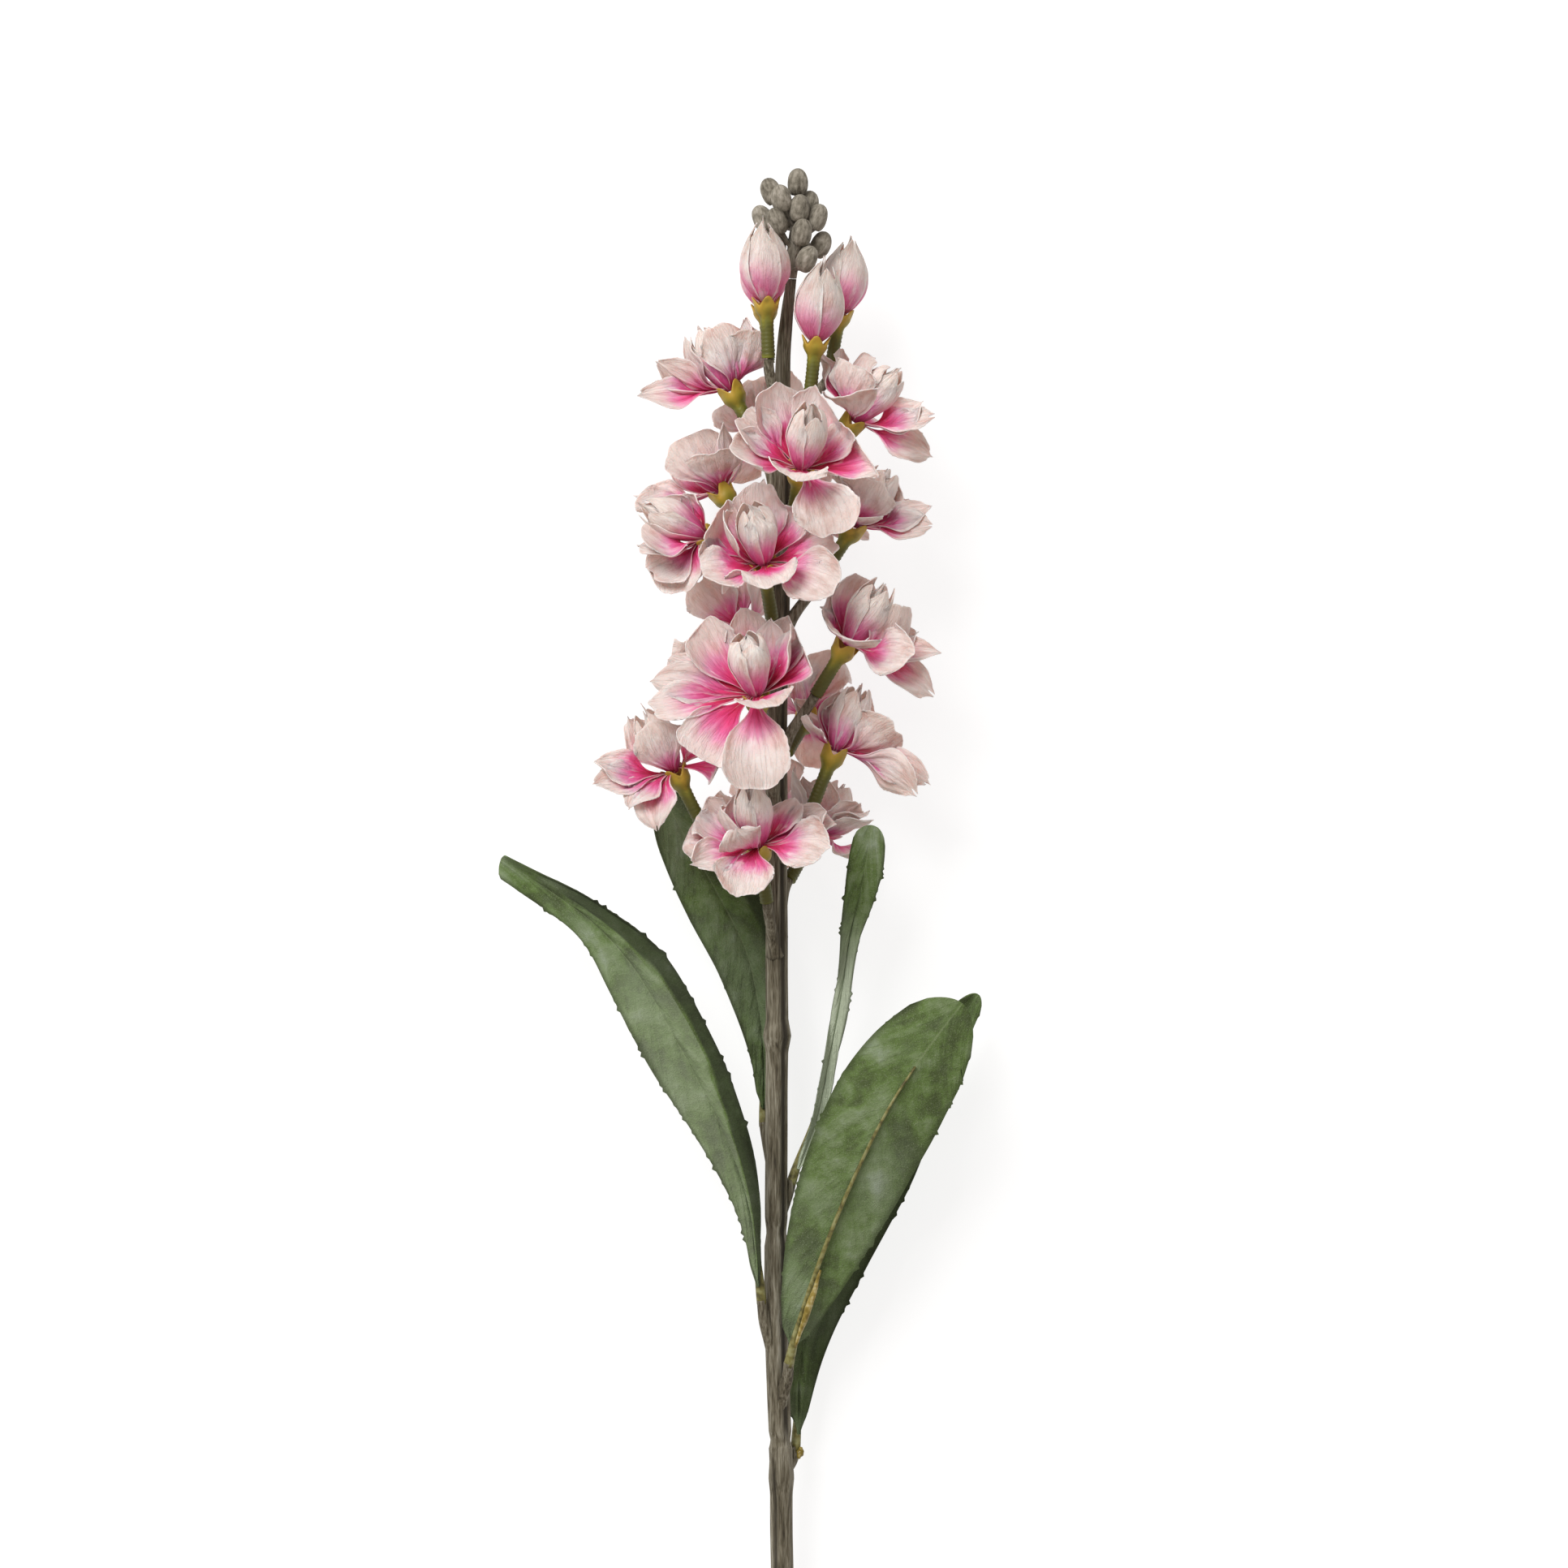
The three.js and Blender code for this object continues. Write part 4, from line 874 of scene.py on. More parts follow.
# How far along the middle curve a petal's points lie, with its tip rounded, notched and scalloped
def petalRun(s, t, key, blunt, fray):
    rounding = blunt * (petalLook["tipRound"] + petalLook["tipVaries"] * draw(key, 8))
    rounding = rounding * np.abs(t) ** 2.3 * s ** 3
    dip = np.exp(-((t - 0.2 * draw(key, 14)) / 0.22) ** 2) * s ** 8
    notch = petalLook["notch"] * (0.5 + draw(key, 13)) * dip
    scallop = petalLook["scallop"] * np.sin(7 * t + 5 * draw(key, 15)) * s ** 5
    return s * (1 + fray) - rounding - notch + scallop - 0.02


# How waves, creases, pleats, the middle vein and the rolled lip raise a petal's inner face
def petalRelief(s, t, key):
    swell = np.sin(math.pi * s)
    wave = petalLook["wave"] * s * t * np.sin(5 * s + 3 * draw(key, 6))
    rippling = np.sin(8 * s + 5 * draw(key, 6) + 2 * np.sign(t))
    ripple = petalLook["ripple"] * np.abs(t) ** 1.5 * s ** 2 * rippling
    crease = petalLook["crease"] * np.sin(13 * t + 4 * draw(key, 9)) * swell ** 2
    vein = petalLook["vein"] * np.exp(-(t / petalLook["veinWidth"]) ** 2)
    vein = vein * np.sin(math.pi * np.minimum(s, 0.9))
    lip = petalLook["lip"] * draw(key, 17) * smooth(0.72, 1, s) ** 2 * (0.4 + t * t)
    pleat = petalLook["pleat"] * np.sin(23 * t + 9 * s + 6 * draw(key, 18)) * swell
    return wave + ripple + crease - vein + lip + pleat


# A petal's inner face looks towards the flower's axis, or is turned to the front
def petalForm(flower, petal, key, keepClear):
    width, face, curl = petal[3:6]
    line, outward, length = petalLine(flower, vec(*petal[:3]), curl)
    axis = flower["axis"]
    halfWidth = 0.5 * width * (1 + petalLook["widthVaries"] * draw(key, 5))
    pointed = width < petalLook["pointedBelow"]
    widthAt = pointedWidthAt if pointed else roundWidthAt
    blunt = petalLook["pointedBlunt"] if pointed else 1
    cup = petalLook["cup"] * (1 + petalLook["cupVaries"] * draw(key, 7))

    def form(s, t):
        fray = petalLook["fray"] * draw(np.round(s * 997) + 31 * key, np.round(t * 991))
        along = petalRun(s, t, key, blunt, fray / length)
        ahead = unitRows(bezier(line, along + plant["lookAhead"]) - bezier(line, along - plant["lookAhead"]))
        inward = axis * (ahead @ outward)[:, None] - outward * (ahead @ axis)[:, None]
        turned = face * smooth(0, 0.6, s)[:, None]
        rise = squareTo(ahead, inward * (1 - np.abs(turned)) + vec(0, 0, 1) * turned)
        across = np.cross(ahead, rise)
        uneven = 1 + petalLook["uneven"] * draw(key, 16) * np.sign(t) * smooth(0.2, 0.9, s)
        swing = t * (halfWidth * uneven + fray) * widthAt(along) / cup
        height = cup * (1 - np.cos(swing)) + petalRelief(s, t, key)
        points = bezier(line, along) + across * (cup * np.sin(swing))[:, None] + rise * height[:, None]
        return keepClear(points)
    return form


# Closed petals wrapped round one another, in the middle of an open flower or as a bud: outer ones
# by the profile, and inner ones narrower, taller and closing over the top
heartLook = {
    "rows": 18, "columns": 14, "petals": 5, "top": 21.8, "foot": 1.2, "uneven": 1.5,
    "closing": 0.8, "overlap": 0.06, "blush": 0.15,
    "profile": [[1, 0.8], [4, 2.9], [8, 4.4], [12.5, 5.7], [17.5, 5.0], [21, 3.5], [25, 1.7]],
    "span": [[0, 92], [0.45, 64], [0.8, 54], [1, 40]],
}
budLook = {
    "rows": 26, "columns": 18, "petals": 5, "top": 23.6, "foot": 0.2, "uneven": 1.3,
    "closing": 0.75, "overlap": 0.07, "blush": 0,
    "profile": [[0, 1.5], [2.6, 4.2], [8, 7.1], [14, 7.0], [19, 5.0], [22, 3.1], [25, 1.3]],
    "span": [[0, 92], [0.45, 70], [0.8, 56], [1, 38]],
}
wrapLook = {
    "twist": 1.6, "turnVaries": 0.1, "opening": 0.15, "openingVaries": 0.45, "fray": 0.1, "crease": 0.12,
    "tipRound": 0.22, "innerPetals": 3, "innerShare": 0.68, "innerSpread": 1.55, "innerRise": 1.8,
}


def wrappedForm(flower, look, order, key, keepClear, inner):
    radiusAt = through(look["profile"])
    spanAt = through(look["span"])
    share = wrapLook["innerShare"] if inner else 1
    spread = wrapLook["innerSpread"] if inner else 1
    top = look["top"] + look["uneven"] * draw(key, 1) + (wrapLook["innerRise"] if inner else 0)
    start = flower["turn"] + 360 * (order + 0.5 + wrapLook["turnVaries"] * draw(key, 2)) / look["petals"]
    lift = wrapLook["openingVaries"] * draw(key, 3) + wrapLook["opening"]

    def form(s, t):
        fray = wrapLook["fray"] * draw(np.round(s * 997) + 17 * key, np.round(t * 991))
        along = s - wrapLook["tipRound"] * np.abs(t) ** 1.7 * s ** 4
        rise = look["foot"] + (top - look["foot"]) * along + fray * s
        turned = (start + wrapLook["twist"] * rise - t * spread * spanAt(s)) * degrees
        crease = wrapLook["crease"] * np.sin(9 * t + 3 * draw(key, 4)) * np.sin(math.pi * s)
        opening = lift * smooth(0.55, 1, s)
        radius = share * (radiusAt(rise) * (1 - look["overlap"] * t) + opening) + crease
        if inner:
            radius = radius * (1 - look["closing"] * smooth(0.6, 1, s))
        outward = roundPoints(0, flower["side"], flower["top"], radius, turned)
        return keepClear(flower["base"] + flower["size"] * (flower["axis"] * rise[:, None] + outward))
    return form


petalSheet = flatSheet(petalLook["rows"], petalLook["columns"], "inside", "outside")
heartSheet = flatSheet(heartLook["rows"], heartLook["columns"], "heart", "heart")
budSheet = flatSheet(budLook["rows"], budLook["columns"], "bud", "bud")


def closedPetals(flower, keepClear):
    look, sheet = (budLook, budSheet) if flower["closed"] else (heartLook, heartSheet)
    inner = wrapLook["innerPetals"]
    wraps = [(order, order, False) for order in range(look["petals"])]
    wraps += [(20 + order, order * look["petals"] / inner, True) for order in range(inner)]
    pieces = []
    for place, order, isInner in wraps:
        key = 400 + 40 * flower["number"] + place
        form = wrappedForm(flower, look, order, key, keepClear, isInner)
        pieces.append(shaped(sheet, form, draw(key, 9), look["blush"]))
    return pieces


def openPetals(flower, keepClear):
    pieces = []
    for i, petal in enumerate(placedPetals.get(flower["number"]) or rearPetals(flower)):
        key = 40 * flower["number"] + i
        blush = petal[6] if len(petal) > 6 else petalLook["blushVaries"] * draw(key, 11)
        pieces.append(shaped(petalSheet, petalForm(flower, petal, key, keepClear), draw(key, 10), blush))
    return pieces


def flowerPetals(flower):
    keepClear = clearance(flower)
    pieces = closedPetals(flower, keepClear)
    if not flower["closed"]:
        pieces += openPetals(flower, keepClear)
    petals = thickened(joined(pieces, f"{flower['node']}_petals"), petalLook["thickness"], 1)
    finished(petals, "petals", flower["node"])


for flower in flowers:
    flowerPetals(flower)
print("stage: petals made")


# Calyx: a tube with fine rings, a cup with lobes round its rim, and a floor inside the cup
def calyxForm(flower):
    low = -calyxLook["cupHeight"] - flower["tube"]
    gapHeight, lobeHeight = calyxLook["budLobes" if flower["closed"] else "openLobes"]
    profileAt = through([[low, calyxLook["tubeRadius"]]] + calyxLook["cupProfile"])
    wall = [0.02, 0.88]  # where along the sheet the outer wall starts and ends

    def form(s, t):
        angle = math.pi * t
        lobe = (0.5 - 0.5 * np.cos(calyxLook["lobes"] * angle)) ** calyxLook["lobeFullness"]
        rim = gapHeight + (lobeHeight - gapHeight) * lobe
        rise = low + (rim - low) * np.clip((s - wall[0]) / (wall[1] - wall[0]), 0, 1)
        spread = (calyxLook["lobeReach"] - calyxLook["lobeFrom"]) * lobe
        spread = spread * smooth(-calyxLook["lobeFlare"], 0, rise - rim)
        rings = calyxLook["ringDepth"] * np.sin(2 * math.pi * rise / calyxLook["ringSpacing"])
        rings = rings * smooth(calyxLook["ringsTo"], calyxLook["ringsFrom"], rise)
        radius = np.minimum(profileAt(np.minimum(rise, 0)), calyxLook["rimRadius"]) + spread + rings
        inside = np.clip((s - wall[1]) / (1 - wall[1]), 0, 1)
        radius = np.where(s < 0.01, 0, radius * (1 - inside))
        rise = rise - (rise - calyxLook["floorHeight"]) * smooth(0, 0.7, inside)
        middles = flower["base"] + flower["axis"] * rise[:, None]
        return roundPoints(middles, flower["side"], flower["top"], radius, angle)
    return form


calyxSheet = flatSheet(calyxLook["rows"], calyxLook["columns"], "calyx")
for flower in flowers:
    piece = shaped(calyxSheet, calyxForm(flower), draw(flower["number"], 77))
    finished(sewn(joined([piece], f"{flower['calyxNode']}_moulding")), "calyx", flower["calyxNode"])
print("stage: calyxes made")


# Stem: fluted, with rings, nodes and necks, and the pegs and stubs that grow from it
stemLook = {
    "rings": [[0, 3.5], [1.2, 3.7], [64, 3.6], [128, 3.6], [153, 3.6], [158, 4.1], [163, 3.7], [167, 3.8],
              [169, 3.1], [172, 3.6], [200, 3.7], [229, 3.8], [233.5, 3.1], [238, 3.6], [262, 3.5],
              [289, 3.6], [294, 4.5], [299, 3.6], [345, 3.5], [394, 3.4], [440, 3.1], [485, 2.7], [511, 2.2],
              [527, 1.6]],
    "rows": 400, "columns": 48, "flutes": 8, "fluteDepth": 0.306, "fluteSharpness": 1.6, "inset": 0.1,
    "coarseFibre": 0.07, "fineFibre": 0.05, "lump": 0.1, "stubRadius": 2.2, "stubTaper": 0.6,
    "rightGroove": 0.27, "rightWidth": 0.12, "rightFrom": [166, 176], "rightFade": [455, 490],
    "leftGroove": -0.2, "leftWidth": 0.06, "leftTo": [158, 168], "grooveDepth": 0.7, "grooveWander": 0.03,
}
# Leaves: the points of each one's stub and rib, its widest part and how its width runs from foot to
# tip, the side of the blade that its rib is on, how far its face turns at foot and tip, its hollow,
# waves, paleness and folded strip, and dried glue at its foot. A paleness below nought is painted
# shade over the leaf, and foldShade paints shade on the dark side of the fold
leaves = [
    {"stub": [[-0.8, 196, 0.5], [-3.4, 205, 2.2], [-4.6, 213, 3.4]],
     "rib": [[-4.9, 216, 3.9], [-8.5, 243, 7], [-17, 267, 10], [-33, 298, 11], [-44, 316, 9], [-56, 329, 5],
             [-77, 344, -2], [-84.5, 348.5, -5]],
     "width": 20, "outline": [[0, 0.12], [0.1, 0.24], [0.2, 0.45], [0.32, 0.8], [0.47, 1], [0.65, 0.95],
                              [0.8, 0.62], [0.92, 0.42], [1, 0.34]],
     "ribSide": -1, "face": [-14, -30], "channel": 2.6, "wave": 1.7,
     "pale": 0.22, "fold": 5, "foldShade": 1.35},
    {"stub": [[-0.4, 250, -0.6], [-2.6, 260, -2.4], [-4, 267, -3.8]],
     "rib": [[-4.4, 270, -4.4], [-4.2, 287, -8], [-5.8, 303, -11.5], [-9.4, 319, -13.5], [-16.5, 334, -15],
             [-25, 349, -16], [-36.5, 370, -17]],
     "width": 23, "outline": [[0, 0.1], [0.15, 0.36], [0.4, 0.85], [0.62, 1], [0.85, 0.75], [1, 0.3]],
     "ribSide": -1, "face": [6, -4], "channel": 2.6, "wave": 1.3,
     # paleness below nought: painted shade over this leaf, which lies behind the blooms
     "pale": -0.42, "fold": 2.5, "foldShade": 0.5},
    {"stub": [[0.6, 238, -0.6], [3, 244, -2.4], [4.6, 249, -3.4]],
     "rib": [[5.2, 252, -3.8], [11.5, 268, -5], [16, 288, -5.5], [19.6, 306, -4.5], [22.6, 325, -2],
             [26, 339, 0.8], [29.6, 359, 4]],
     "width": 11, "outline": [[0, 0.15], [0.15, 0.4], [0.3, 0.44], [0.5, 0.36], [0.65, 0.5], [0.8, 0.85],
                              [0.9, 1], [1, 0.86]],
     "ribSide": -1, "face": [30, -8], "channel": 1.6, "wave": 2.2,
     # its pale foot is its own colour, painted lighter still as painted light where its face turns from the
     # lamp
     "pale": 0.95, "fold": 0, "foldShade": 0},
    {"stub": [[0.8, 180, 1], [3, 188, 4], [3.8, 194, 6.4]],
     "rib": [[4.1, 197, 7.4], [10.5, 218, 11], [23, 250, 15], [35.5, 275, 17], [46, 290.5, 16.5],
             [57, 304.5, 14]],
     "width": 34, "outline": [[0, 0.1], [0.12, 0.42], [0.35, 0.8], [0.6, 1], [0.8, 0.93], [0.92, 0.7],
                              [1, 0.5]],
     "ribSide": 1, "face": [0, 8], "channel": -2.4, "wave": 1,
     "pale": 0.02, "fold": 0, "foldShade": 0,
     "glue": [[5.6, 199, 9.2], [8, 206, 10.8], [11, 215, 12.2], [13.4, 223, 13.4]], "glueRadius": 0.95},
    {"stub": [[1.4, 158, -1], [4.6, 163, -3], [6, 166.5, -4]],
     "rib": [[6.4, 169, -4.6], [7.5, 195, -9], [16, 225, -12], [29, 252, -13], [45, 282, -12],
             [62.5, 306.5, -9]],
     "width": 26, "outline": [[0, 0.08], [0.15, 0.46], [0.4, 0.95], [0.6, 1], [0.85, 0.62], [1, 0.2]],
     "ribSide": -1, "face": [8, 0], "channel": 2.4, "wave": 1.2,
     # paleness below nought: painted shade over this leaf, which lies behind leaf 4
     "pale": -0.25, "fold": 1.5, "foldShade": 0.4,
     "glue": [[6.6, 163.4, -2], [7.2, 165, -2.2], [7.6, 167, -2.4]], "glueRadius": 1.05},
]


# A smooth path through points, read by its share of the length
def pathThrough(points):
    points = [vec(*point) for point in points]
    ends = [2 * points[0] - points[1]] + points + [2 * points[-1] - points[-2]]
    samples = []
    for i in range(len(points) - 1):
        p = ends[i:i + 4]
        steps = [p[j + 1] - p[j] for j in range(3)]
        gaps = [np.linalg.norm(step) ** 0.5 for step in steps]
        slopes = [step / gap for step, gap in zip(steps, gaps)]
        leave = (slopes[0] - (p[2] - p[0]) / (gaps[0] + gaps[1]) + slopes[1]) * gaps[1]
        arrive = (slopes[1] - (p[3] - p[1]) / (gaps[1] + gaps[2]) + slopes[2]) * gaps[1]
        u = np.linspace(0, 1, plant["pathSamples"])[:, None]
        samples.append(p[1] + leave * u + (3 * steps[1] - 2 * leave - arrive) * u ** 2
                       + (leave + arrive - 2 * steps[1]) * u ** 3)
    track = np.concatenate(samples)
    lengths = np.concatenate([[0], np.cumsum(np.linalg.norm(np.diff(track, axis=0), axis=1))])
    lengths /= lengths[-1]
    return lambda s: np.stack([np.interp(s, lengths, track[:, axis]) for axis in range(3)], axis=-1)


# How far into one of the stem's grooves a point lies, which sinks the surface and paints shade into it: on
# the right above the lowest neck, fading near the top, and on the left below that neck
def grooveAt(s, t):
    height = s * stemLook["rings"][-1][0]
    wander = stemLook["grooveWander"] * np.sin(height / 31)
    right = np.exp(-((t - stemLook["rightGroove"] - wander) / stemLook["rightWidth"]) ** 4)
    right = right * smooth(*stemLook["rightFrom"], height)
    right = right * (1 - 0.85 * smooth(*stemLook["rightFade"], height))
    left = np.exp(-((t - stemLook["leftGroove"] - wander) / stemLook["leftWidth"]) ** 2)
    left = left * (1 - smooth(*stemLook["leftTo"], height))
    return np.maximum(right, left)


def stemForm(s, t):
    places, radii = np.array(stemLook["rings"]).T
    height = tubeRun(s, stemLook["rows"]) * places[-1]
    angle = math.pi * t
    flute = 0.5 + 0.5 * np.cos(stemLook["flutes"] * angle + 0.5 * np.sin(height / 60))
    fibres = (stemLook["coarseFibre"] * np.sin(21 * angle + 1.4 * np.sin(height / 17))
              + stemLook["fineFibre"] * np.sin(37 * angle + height / 40))
    lump = stemLook["lump"] * np.sin(height / 7 + 2 * angle) * np.sin(height / 23 + angle)
    radius = np.interp(height, places, radii) + fibres + lump - stemLook["inset"]
    radius = radius - stemLook["fluteDepth"] * (1 - flute ** stemLook["fluteSharpness"])
    radius = closedRadius(s, stemLook["rows"], radius - stemLook["grooveDepth"] * grooveAt(s, t))
    return np.stack([swayAt(height) + radius * np.sin(angle), height, radius * np.cos(angle)], axis=-1)


# A radius with shallow ridges along it and round it, different for each seed
def woody(radius, run, angle, seed):
    return radius * (1 + 0.05 * np.sin(6 * angle + seed) + 0.04 * np.sin(11 * angle + 9 * run + seed))


def pegPiece(flower, sheet):
    def pathAt(u):
        return bezier(flower["peg"], u)

    def radiusAt(u, angle):
        foot = pegLook["flare"] * (1 - u) ** 2 + pegLook["footFlare"] * (1 - u) ** 8
        return woody(pegLook["radius"] + foot, u, angle, flower["number"])

    return shaped(sheet, tubeForm(pathAt, radiusAt, flower["side"], pegLook["rows"]))


def stubPiece(leaf, seed, sheet):
    def radiusAt(u, angle):
        return woody(stemLook["stubRadius"] - stemLook["stubTaper"] * u, u, angle, seed)

    return shaped(sheet, tubeForm(pathThrough(leaf["stub"]), radiusAt, vec(0, 0, 1), pegLook["rows"]))


stemSheet = flatSheet(stemLook["rows"], stemLook["columns"], "stem")
pegSheet = flatSheet(pegLook["rows"], pegLook["columns"], "stem")
stemParts = [shaped(stemSheet, stemForm, 0, grooveAt)]
stemParts += [pegPiece(flower, pegSheet) for flower in flowers]
stemParts += [stubPiece(leaf, i, pegSheet) for i, leaf in enumerate(leaves)]
finished(sewn(joined(stemParts, "stem_moulding")), "stem", "stem")

# Green buds at the tip, each on its stalk, round a spike that carries the stem on
tipLook = {
    "middles": [[6.5, 557, 0], [-1.8, 554, 1.5], [1.4, 551.5, 5], [-4.4, 546, -1.5], [0, 544.5, 4.6],
                [7, 548.5, 4.4], [9.8, 550.5, -2.5], [12.5, 546, 1.5], [7.8, 541, 5.2], [13.6, 538, -2],
                [9.4, 533, 4.4], [-0.5, 538.5, -1.5], [4.6, 547, -5.8], [7.4, 537, -6.6]],
    "radius": 3.35, "length": 8.2, "rows": 26, "columns": 32, "rootBelow": 9, "lowestRoot": 530,
    "upright": 0.9, "fold": 0.16, "furrow": 0.05,
    "spike": [527, 551], "spikeProfile": [[0, 1.6], [0.45, 2.1], [1, 0.6]],
    "stalkRadius": 0.75, "stalkFlare": 0.6, "stalkRows": 14, "stalkColumns": 12,
}
tipSheet = flatSheet(tipLook["rows"], tipLook["columns"], "tip")
stalkSheet = flatSheet(tipLook["stalkRows"], tipLook["stalkColumns"], "tip")


def spikePiece():
    low, high = tipLook["spike"][0] + plant["joinGap"], tipLook["spike"][1]
    profileAt = through(tipLook["spikeProfile"])

    def pathAt(u):
        height = low + (high - low) * u
        return np.stack([swayAt(height), height, 0 * u], axis=-1)

    def radiusAt(u, angle):
        return profileAt(u)

    return shaped(stalkSheet, tubeForm(pathAt, radiusAt, vec(0, 0, 1), tipLook["stalkRows"]))


# One straight round piece of the tip, from its start to its end
def tipPiece(sheet, start, end, radiusAt, tone):
    def pathAt(u):
        return start + (end - start) * u[:, None]

    rows = tipLook["rows"] if sheet is tipSheet else tipLook["stalkRows"]
    return shaped(sheet, tubeForm(pathAt, radiusAt, vec(0, 0, 1), rows), tone)


# A folded egg-shaped bud and the stalk that runs from the spike into it
def tipBud(bud, seed):
    def budRadius(u, angle):
        swell = tipLook["radius"] * (1 - np.abs(2 * u - 0.92) ** 2.3 / 1.25).clip(0.02) ** 0.5
        fold = (tipLook["fold"] * np.abs(np.sin(1.5 * angle + 2.2 * u + seed))
                + tipLook["furrow"] * np.sin(9 * angle + 3 * seed))
        return swell * (1 - 0.07 * u) - fold * np.sin(math.pi * u)

    def stalkRadius(u, angle):
        return tipLook["stalkRadius"] + tipLook["stalkFlare"] * u ** 3

    rootHeight = bud[1] - tipLook["rootBelow"]
    root = vec(swayAt(rootHeight), max(rootHeight, tipLook["lowestRoot"]), 0)
    lean = unit(unit(bud - root) + vec(0, tipLook["upright"], 0))
    start, end = bud - lean * 0.5 * tipLook["length"], bud + lean * 0.5 * tipLook["length"]
    tone = draw(seed, 55)
    return [tipPiece(tipSheet, start, end, budRadius, tone),
            tipPiece(stalkSheet, root, start + lean, stalkRadius, tone)]


tipParts = [spikePiece()]
for seed, middle in enumerate(tipLook["middles"]):
    tipParts += tipBud(vec(*middle), seed)
finished(sewn(joined(tipParts, "tip_cluster")), "tip", "tip_buds")
print("stage: stem and tip made")

# Leaves: a woven blade beside its moulded rib
leafLook = {
    "rows": 150, "columns": 18, "thickness": 0.4, "fray": 1.35, "raggedLengths": 22, "swell": 0.5,
    "spineDepth": 1.0, "spineWidth": 0.09, "greenTop": 1.0,
    "solidThickness": 0.7, "solidRib": [1.5, 1.1],  # of the solid leaf, with its rib's radius and taper
    "ribRows": 60, "ribColumns": 14, "ribRadius": 0.9, "ribTaper": 0.55, "ribFoot": 0.7,
    "ribStart": 0.06, "ribEnd": 0.8, "ribSink": 1.2, "ribPoints": 9, "glueRows": 20, "glueColumns": 14,
}


def leafFrame(leaf, s):
    pathAt = pathThrough(leaf["rib"])
    step = plant["lookAhead"]
    ahead = unitRows(pathAt(np.minimum(s + step, 1)) - pathAt(np.maximum(s - step, 0)))
    front = squareTo(ahead, vec(0, 0, 1))
    turn = ((leaf["face"][0] + (leaf["face"][1] - leaf["face"][0]) * s) * degrees)[:, None]
    face = front * np.cos(turn) + np.cross(ahead, front) * np.sin(turn)
    return pathAt(s), face, np.cross(ahead, face)


# How far a point lies in the folded strip along a leaf's right margin
def foldAt(s, t):
    return smooth(0.42 + 0.16 * np.sin(9 * s), 0.95, t) * smooth(0.03, 0.3, s) * smooth(1, 0.8, s)


# How far a point is shaded as the dark side of that strip
def darkAt(s, t):
    edge = 0.56 - 0.34 * smooth(0.4, 0, s) + 0.09 * np.sin(13 * s + 1)
    return smooth(edge - 0.05, edge + 0.05, t) * smooth(0.95, 0.75, s)


# How far strands stick out of a leaf's edges, more in some stretches than in others
def leafFray(s, t, number):
    strand = draw(np.round(s * 997), 7 * number + np.sign(t))
    stretch = draw(np.floor(s * leafLook["raggedLengths"]), 3 * number + np.sign(t))
    return leafLook["fray"] * (np.abs(t) > 0.99) * smooth(-0.4, 0.8, stretch) * np.maximum(0, strand - 0.3)


# How far a blade lies off the line of its rib, with its hollow, waves, spine and fold
def bladeLift(leaf, number, along, s, t):
    radius, taper = leafLook["solidRib"]
    standOff = radius - taper * np.minimum(along, leafLook["ribEnd"]) + plant["joinGap"]
    lift = -leaf["ribSide"] * (standOff + leafLook["solidThickness"] / 2)
    wave = leaf["wave"] * np.abs(t) * np.sin(13 * along + 2.1 * number + 1.3 * np.sign(t))
    lift = lift + (leaf["channel"] * np.minimum(1, 3 * along) + wave * np.minimum(1, 2 * along)) * t * t
    lift = lift + leafLook["swell"] * np.sin(27 * along + 5 * t + number) * np.abs(t) ** 1.5
    spine = leafLook["spineDepth"] * np.exp(-(t / leafLook["spineWidth"]) ** 2) * smooth(1, 0.7, along)
    return lift + leaf["ribSide"] * spine - leaf["fold"] * foldAt(s, t)


def leafForm(leaf, number):
    outlineAt = through(leaf["outline"])
    length = np.sum(np.linalg.norm(np.diff(np.array(leaf["rib"], float), axis=0), axis=1))
    tipLength = 0.5 * leaf["width"] * outlineAt(0.96) / length

    def form(s, t):
        rounding = tipLength * (1 - np.sqrt(1 - np.minimum(t * t, 1))) * smooth(0.7, 1, s)
        along = 0.01 + 0.99 * (s - rounding)
        middle, face, across = leafFrame(leaf, along)
        halfWidth = 0.5 * leaf["width"] * outlineAt(along) * smooth(-0.02, 0.05, s) + leafFray(s, t, number)
        lift = bladeLift(leaf, number, along, s, t)
        return middle + across * (t * halfWidth)[:, None] + face * lift[:, None]
    return form


def leafBlade(leaf, number, sheet):
    def paleAt(s, t):
        top = 1 - leafLook["greenTop"] * smooth(0.5, 0.8, s)
        return leaf["pale"] * top - leaf["foldShade"] * darkAt(s, t)

    piece = shaped(sheet, leafForm(leaf, number), draw(number, 12), paleAt)
    blade = thickened(joined([piece], f"leaf_{number}_blade"), leafLook["thickness"], 0)
    finished(blade, "leaf", f"leaf_{number}")


# A rib starts inside its stub and tapers up the back of the blade
def ribPiece(leaf, number, sheet):
    start = vec(*leaf["stub"][-1])
    toRib = unit(vec(*leaf["rib"][0]) - start)
    shares = np.linspace(leafLook["ribStart"], leafLook["ribEnd"], leafLook["ribPoints"])
    pathAt = pathThrough([start - toRib * leafLook["ribSink"], *pathThrough(leaf["rib"])(shares)])

    def radiusAt(u, angle):
        radius = leafLook["ribRadius"] - leafLook["ribTaper"] * u + leafLook["ribFoot"] * smooth(0.16, 0, u)
        return radius * (1 + 0.06 * np.sin(3 * angle + 14 * u))

    return shaped(sheet, tubeForm(pathAt, radiusAt, vec(0, 0, 1), leafLook["ribRows"]), draw(number, 13))


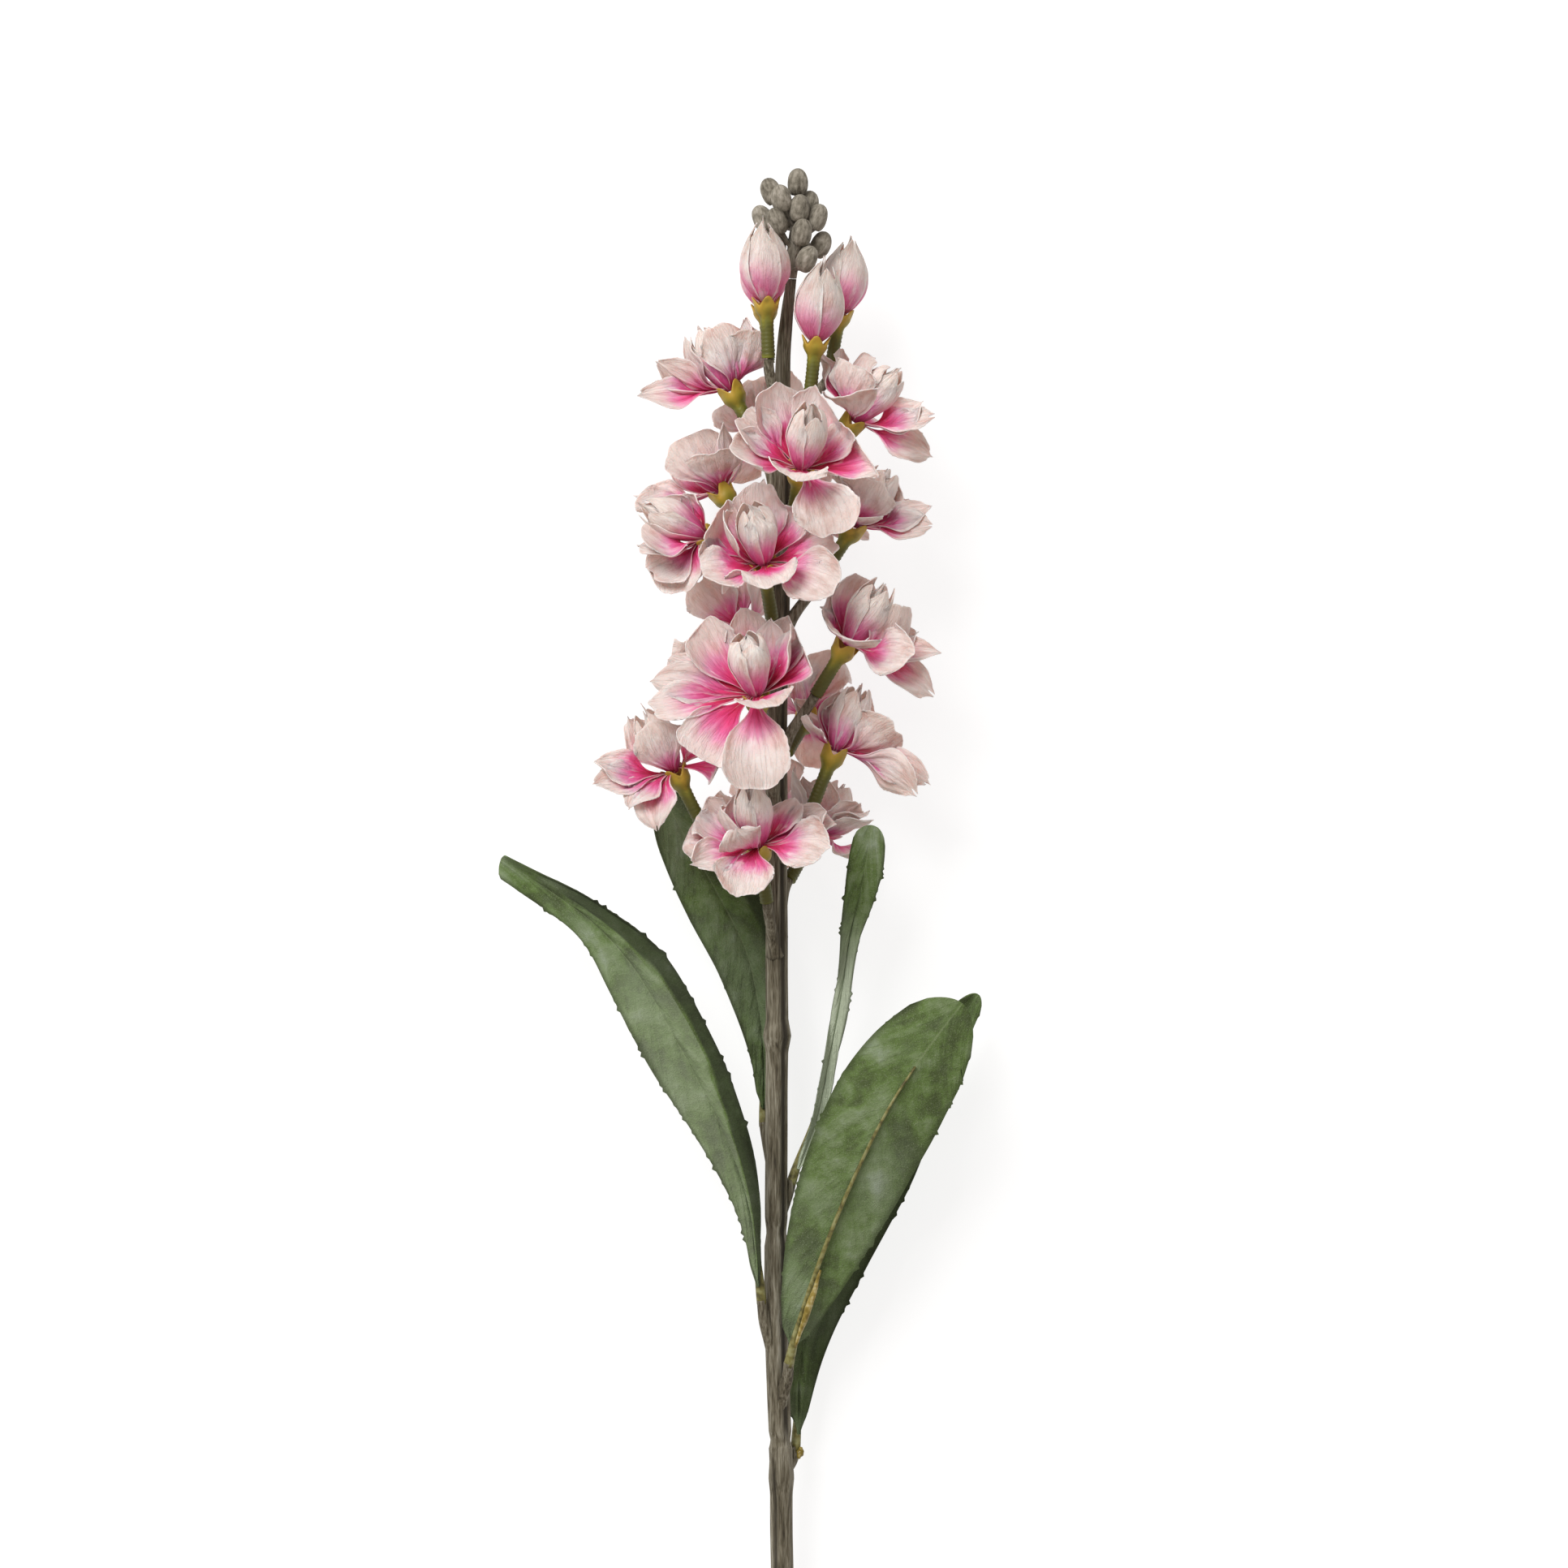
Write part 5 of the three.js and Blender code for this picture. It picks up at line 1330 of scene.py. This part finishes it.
def gluePiece(leaf, sheet):
    def radiusAt(u, angle):
        lumps = 1 + 0.16 * np.sin(2 * angle + 9 * u) + 0.1 * np.sin(17 * u + angle)
        return leaf["glueRadius"] * np.sin(math.pi * (0.04 + 0.92 * u)) ** 0.5 * lumps

    return shaped(sheet, tubeForm(pathThrough(leaf["glue"]), radiusAt, vec(0, 0, 1), leafLook["glueRows"]))


bladeSheet = flatSheet(leafLook["rows"], leafLook["columns"], "leaf")
ribSheet = flatSheet(leafLook["ribRows"], leafLook["ribColumns"], "rib")
glueSheet = flatSheet(leafLook["glueRows"], leafLook["glueColumns"], "glue")
for i, leaf in enumerate(leaves):
    number = i + 1
    leafBlade(leaf, number, bladeSheet)
    mouldings = [ribPiece(leaf, number, ribSheet)]
    if "glue" in leaf:
        mouldings.append(gluePiece(leaf, glueSheet))
    finished(sewn(joined(mouldings, f"leaf_rib_{number}_moulding")), "rib", f"leaf_rib_{number}")
for sheet in sheets:
    bpy.data.objects.remove(sheet)
print("stage: leaves made")

# Surface, light and camera
stageLook = {
    "floorSize": 8.0, "floor": "#8d8d8d", "floorGrain": "#909090", "floorGlow": 0.8,
    "world": "#fff7f1", "worldLight": 0.51, "keyPower": 29.3, "keySize": 1.1,
    "keyPlace": (-0.75, 1.0, 1.35),  # from the middle of the picture
    "distance": 1.6, "imageSize": 1932, "millimetresPerPixel": 0.25, "sensor": 36.0, "clipEnd": 50,
    "centre": (2.25, 371.5, 0.0),  # plant point in the middle of the picture
}


def floorPiece():
    selectOnly()
    bpy.ops.mesh.primitive_plane_add(size=stageLook["floorSize"])
    floor = bpy.context.object
    floor.name = "floor"
    finish = Finish("pale floor", Roughness=0.9)
    grain = finish.noise(finish.objectPlace(), 30.0, 2.0)
    finish.set("Base Color", finish.mix(grain, colour(stageLook["floor"]), colour(stageLook["floorGrain"])))
    finish.set("Emission Color", colour("#ffffff"))
    finish.set("Emission Strength", stageLook["floorGlow"])
    floor.data.materials.append(finish.material)


def pointAlong(piece, right, up, back, place):
    columns = [[*right, 0], [*up, 0], [*back, 0], [*place, 1]]
    piece.matrix_world = Matrix(columns).transposed()


def keyLight(target):
    place = target + vec(*stageLook["keyPlace"])
    selectOnly()
    bpy.ops.object.light_add(type="AREA", location=tuple(place))
    light = bpy.context.object
    light.data.shape = "DISK"
    light.data.size = stageLook["keySize"]
    light.data.energy = stageLook["keyPower"]
    back = unit(place - target)
    right = unit(np.cross(vec(0, 1, 0.001), back))
    pointAlong(light, right, np.cross(back, right), back, place)


def surroundings():
    world = bpy.data.worlds.new("studio")
    world.use_nodes = True
    background = world.node_tree.nodes["Background"]
    background.inputs["Color"].default_value = colour(stageLook["world"])
    background.inputs["Strength"].default_value = stageLook["worldLight"]
    bpy.context.scene.world = world
    bpy.context.scene.view_settings.view_transform = "Standard"


def cameraPiece(target):
    back = vec(0, -math.sin(leanBack), math.cos(leanBack))
    up = vec(0, math.cos(leanBack), math.sin(leanBack))
    bpy.ops.object.camera_add()
    camera = bpy.context.object
    width = stageLook["imageSize"] * stageLook["millimetresPerPixel"] / 1000
    camera.data.sensor_width = stageLook["sensor"]
    camera.data.lens = stageLook["sensor"] * stageLook["distance"] / width
    camera.data.clip_end = stageLook["clipEnd"]
    pointAlong(camera, vec(1, 0, 0), up, back, target + back * stageLook["distance"])
    bpy.context.scene.camera = camera


floorPiece()
target = worldPoints([stageLook["centre"]])[0]
keyLight(target)
surroundings()
cameraPiece(target)
print("stage: surface, light and camera set")
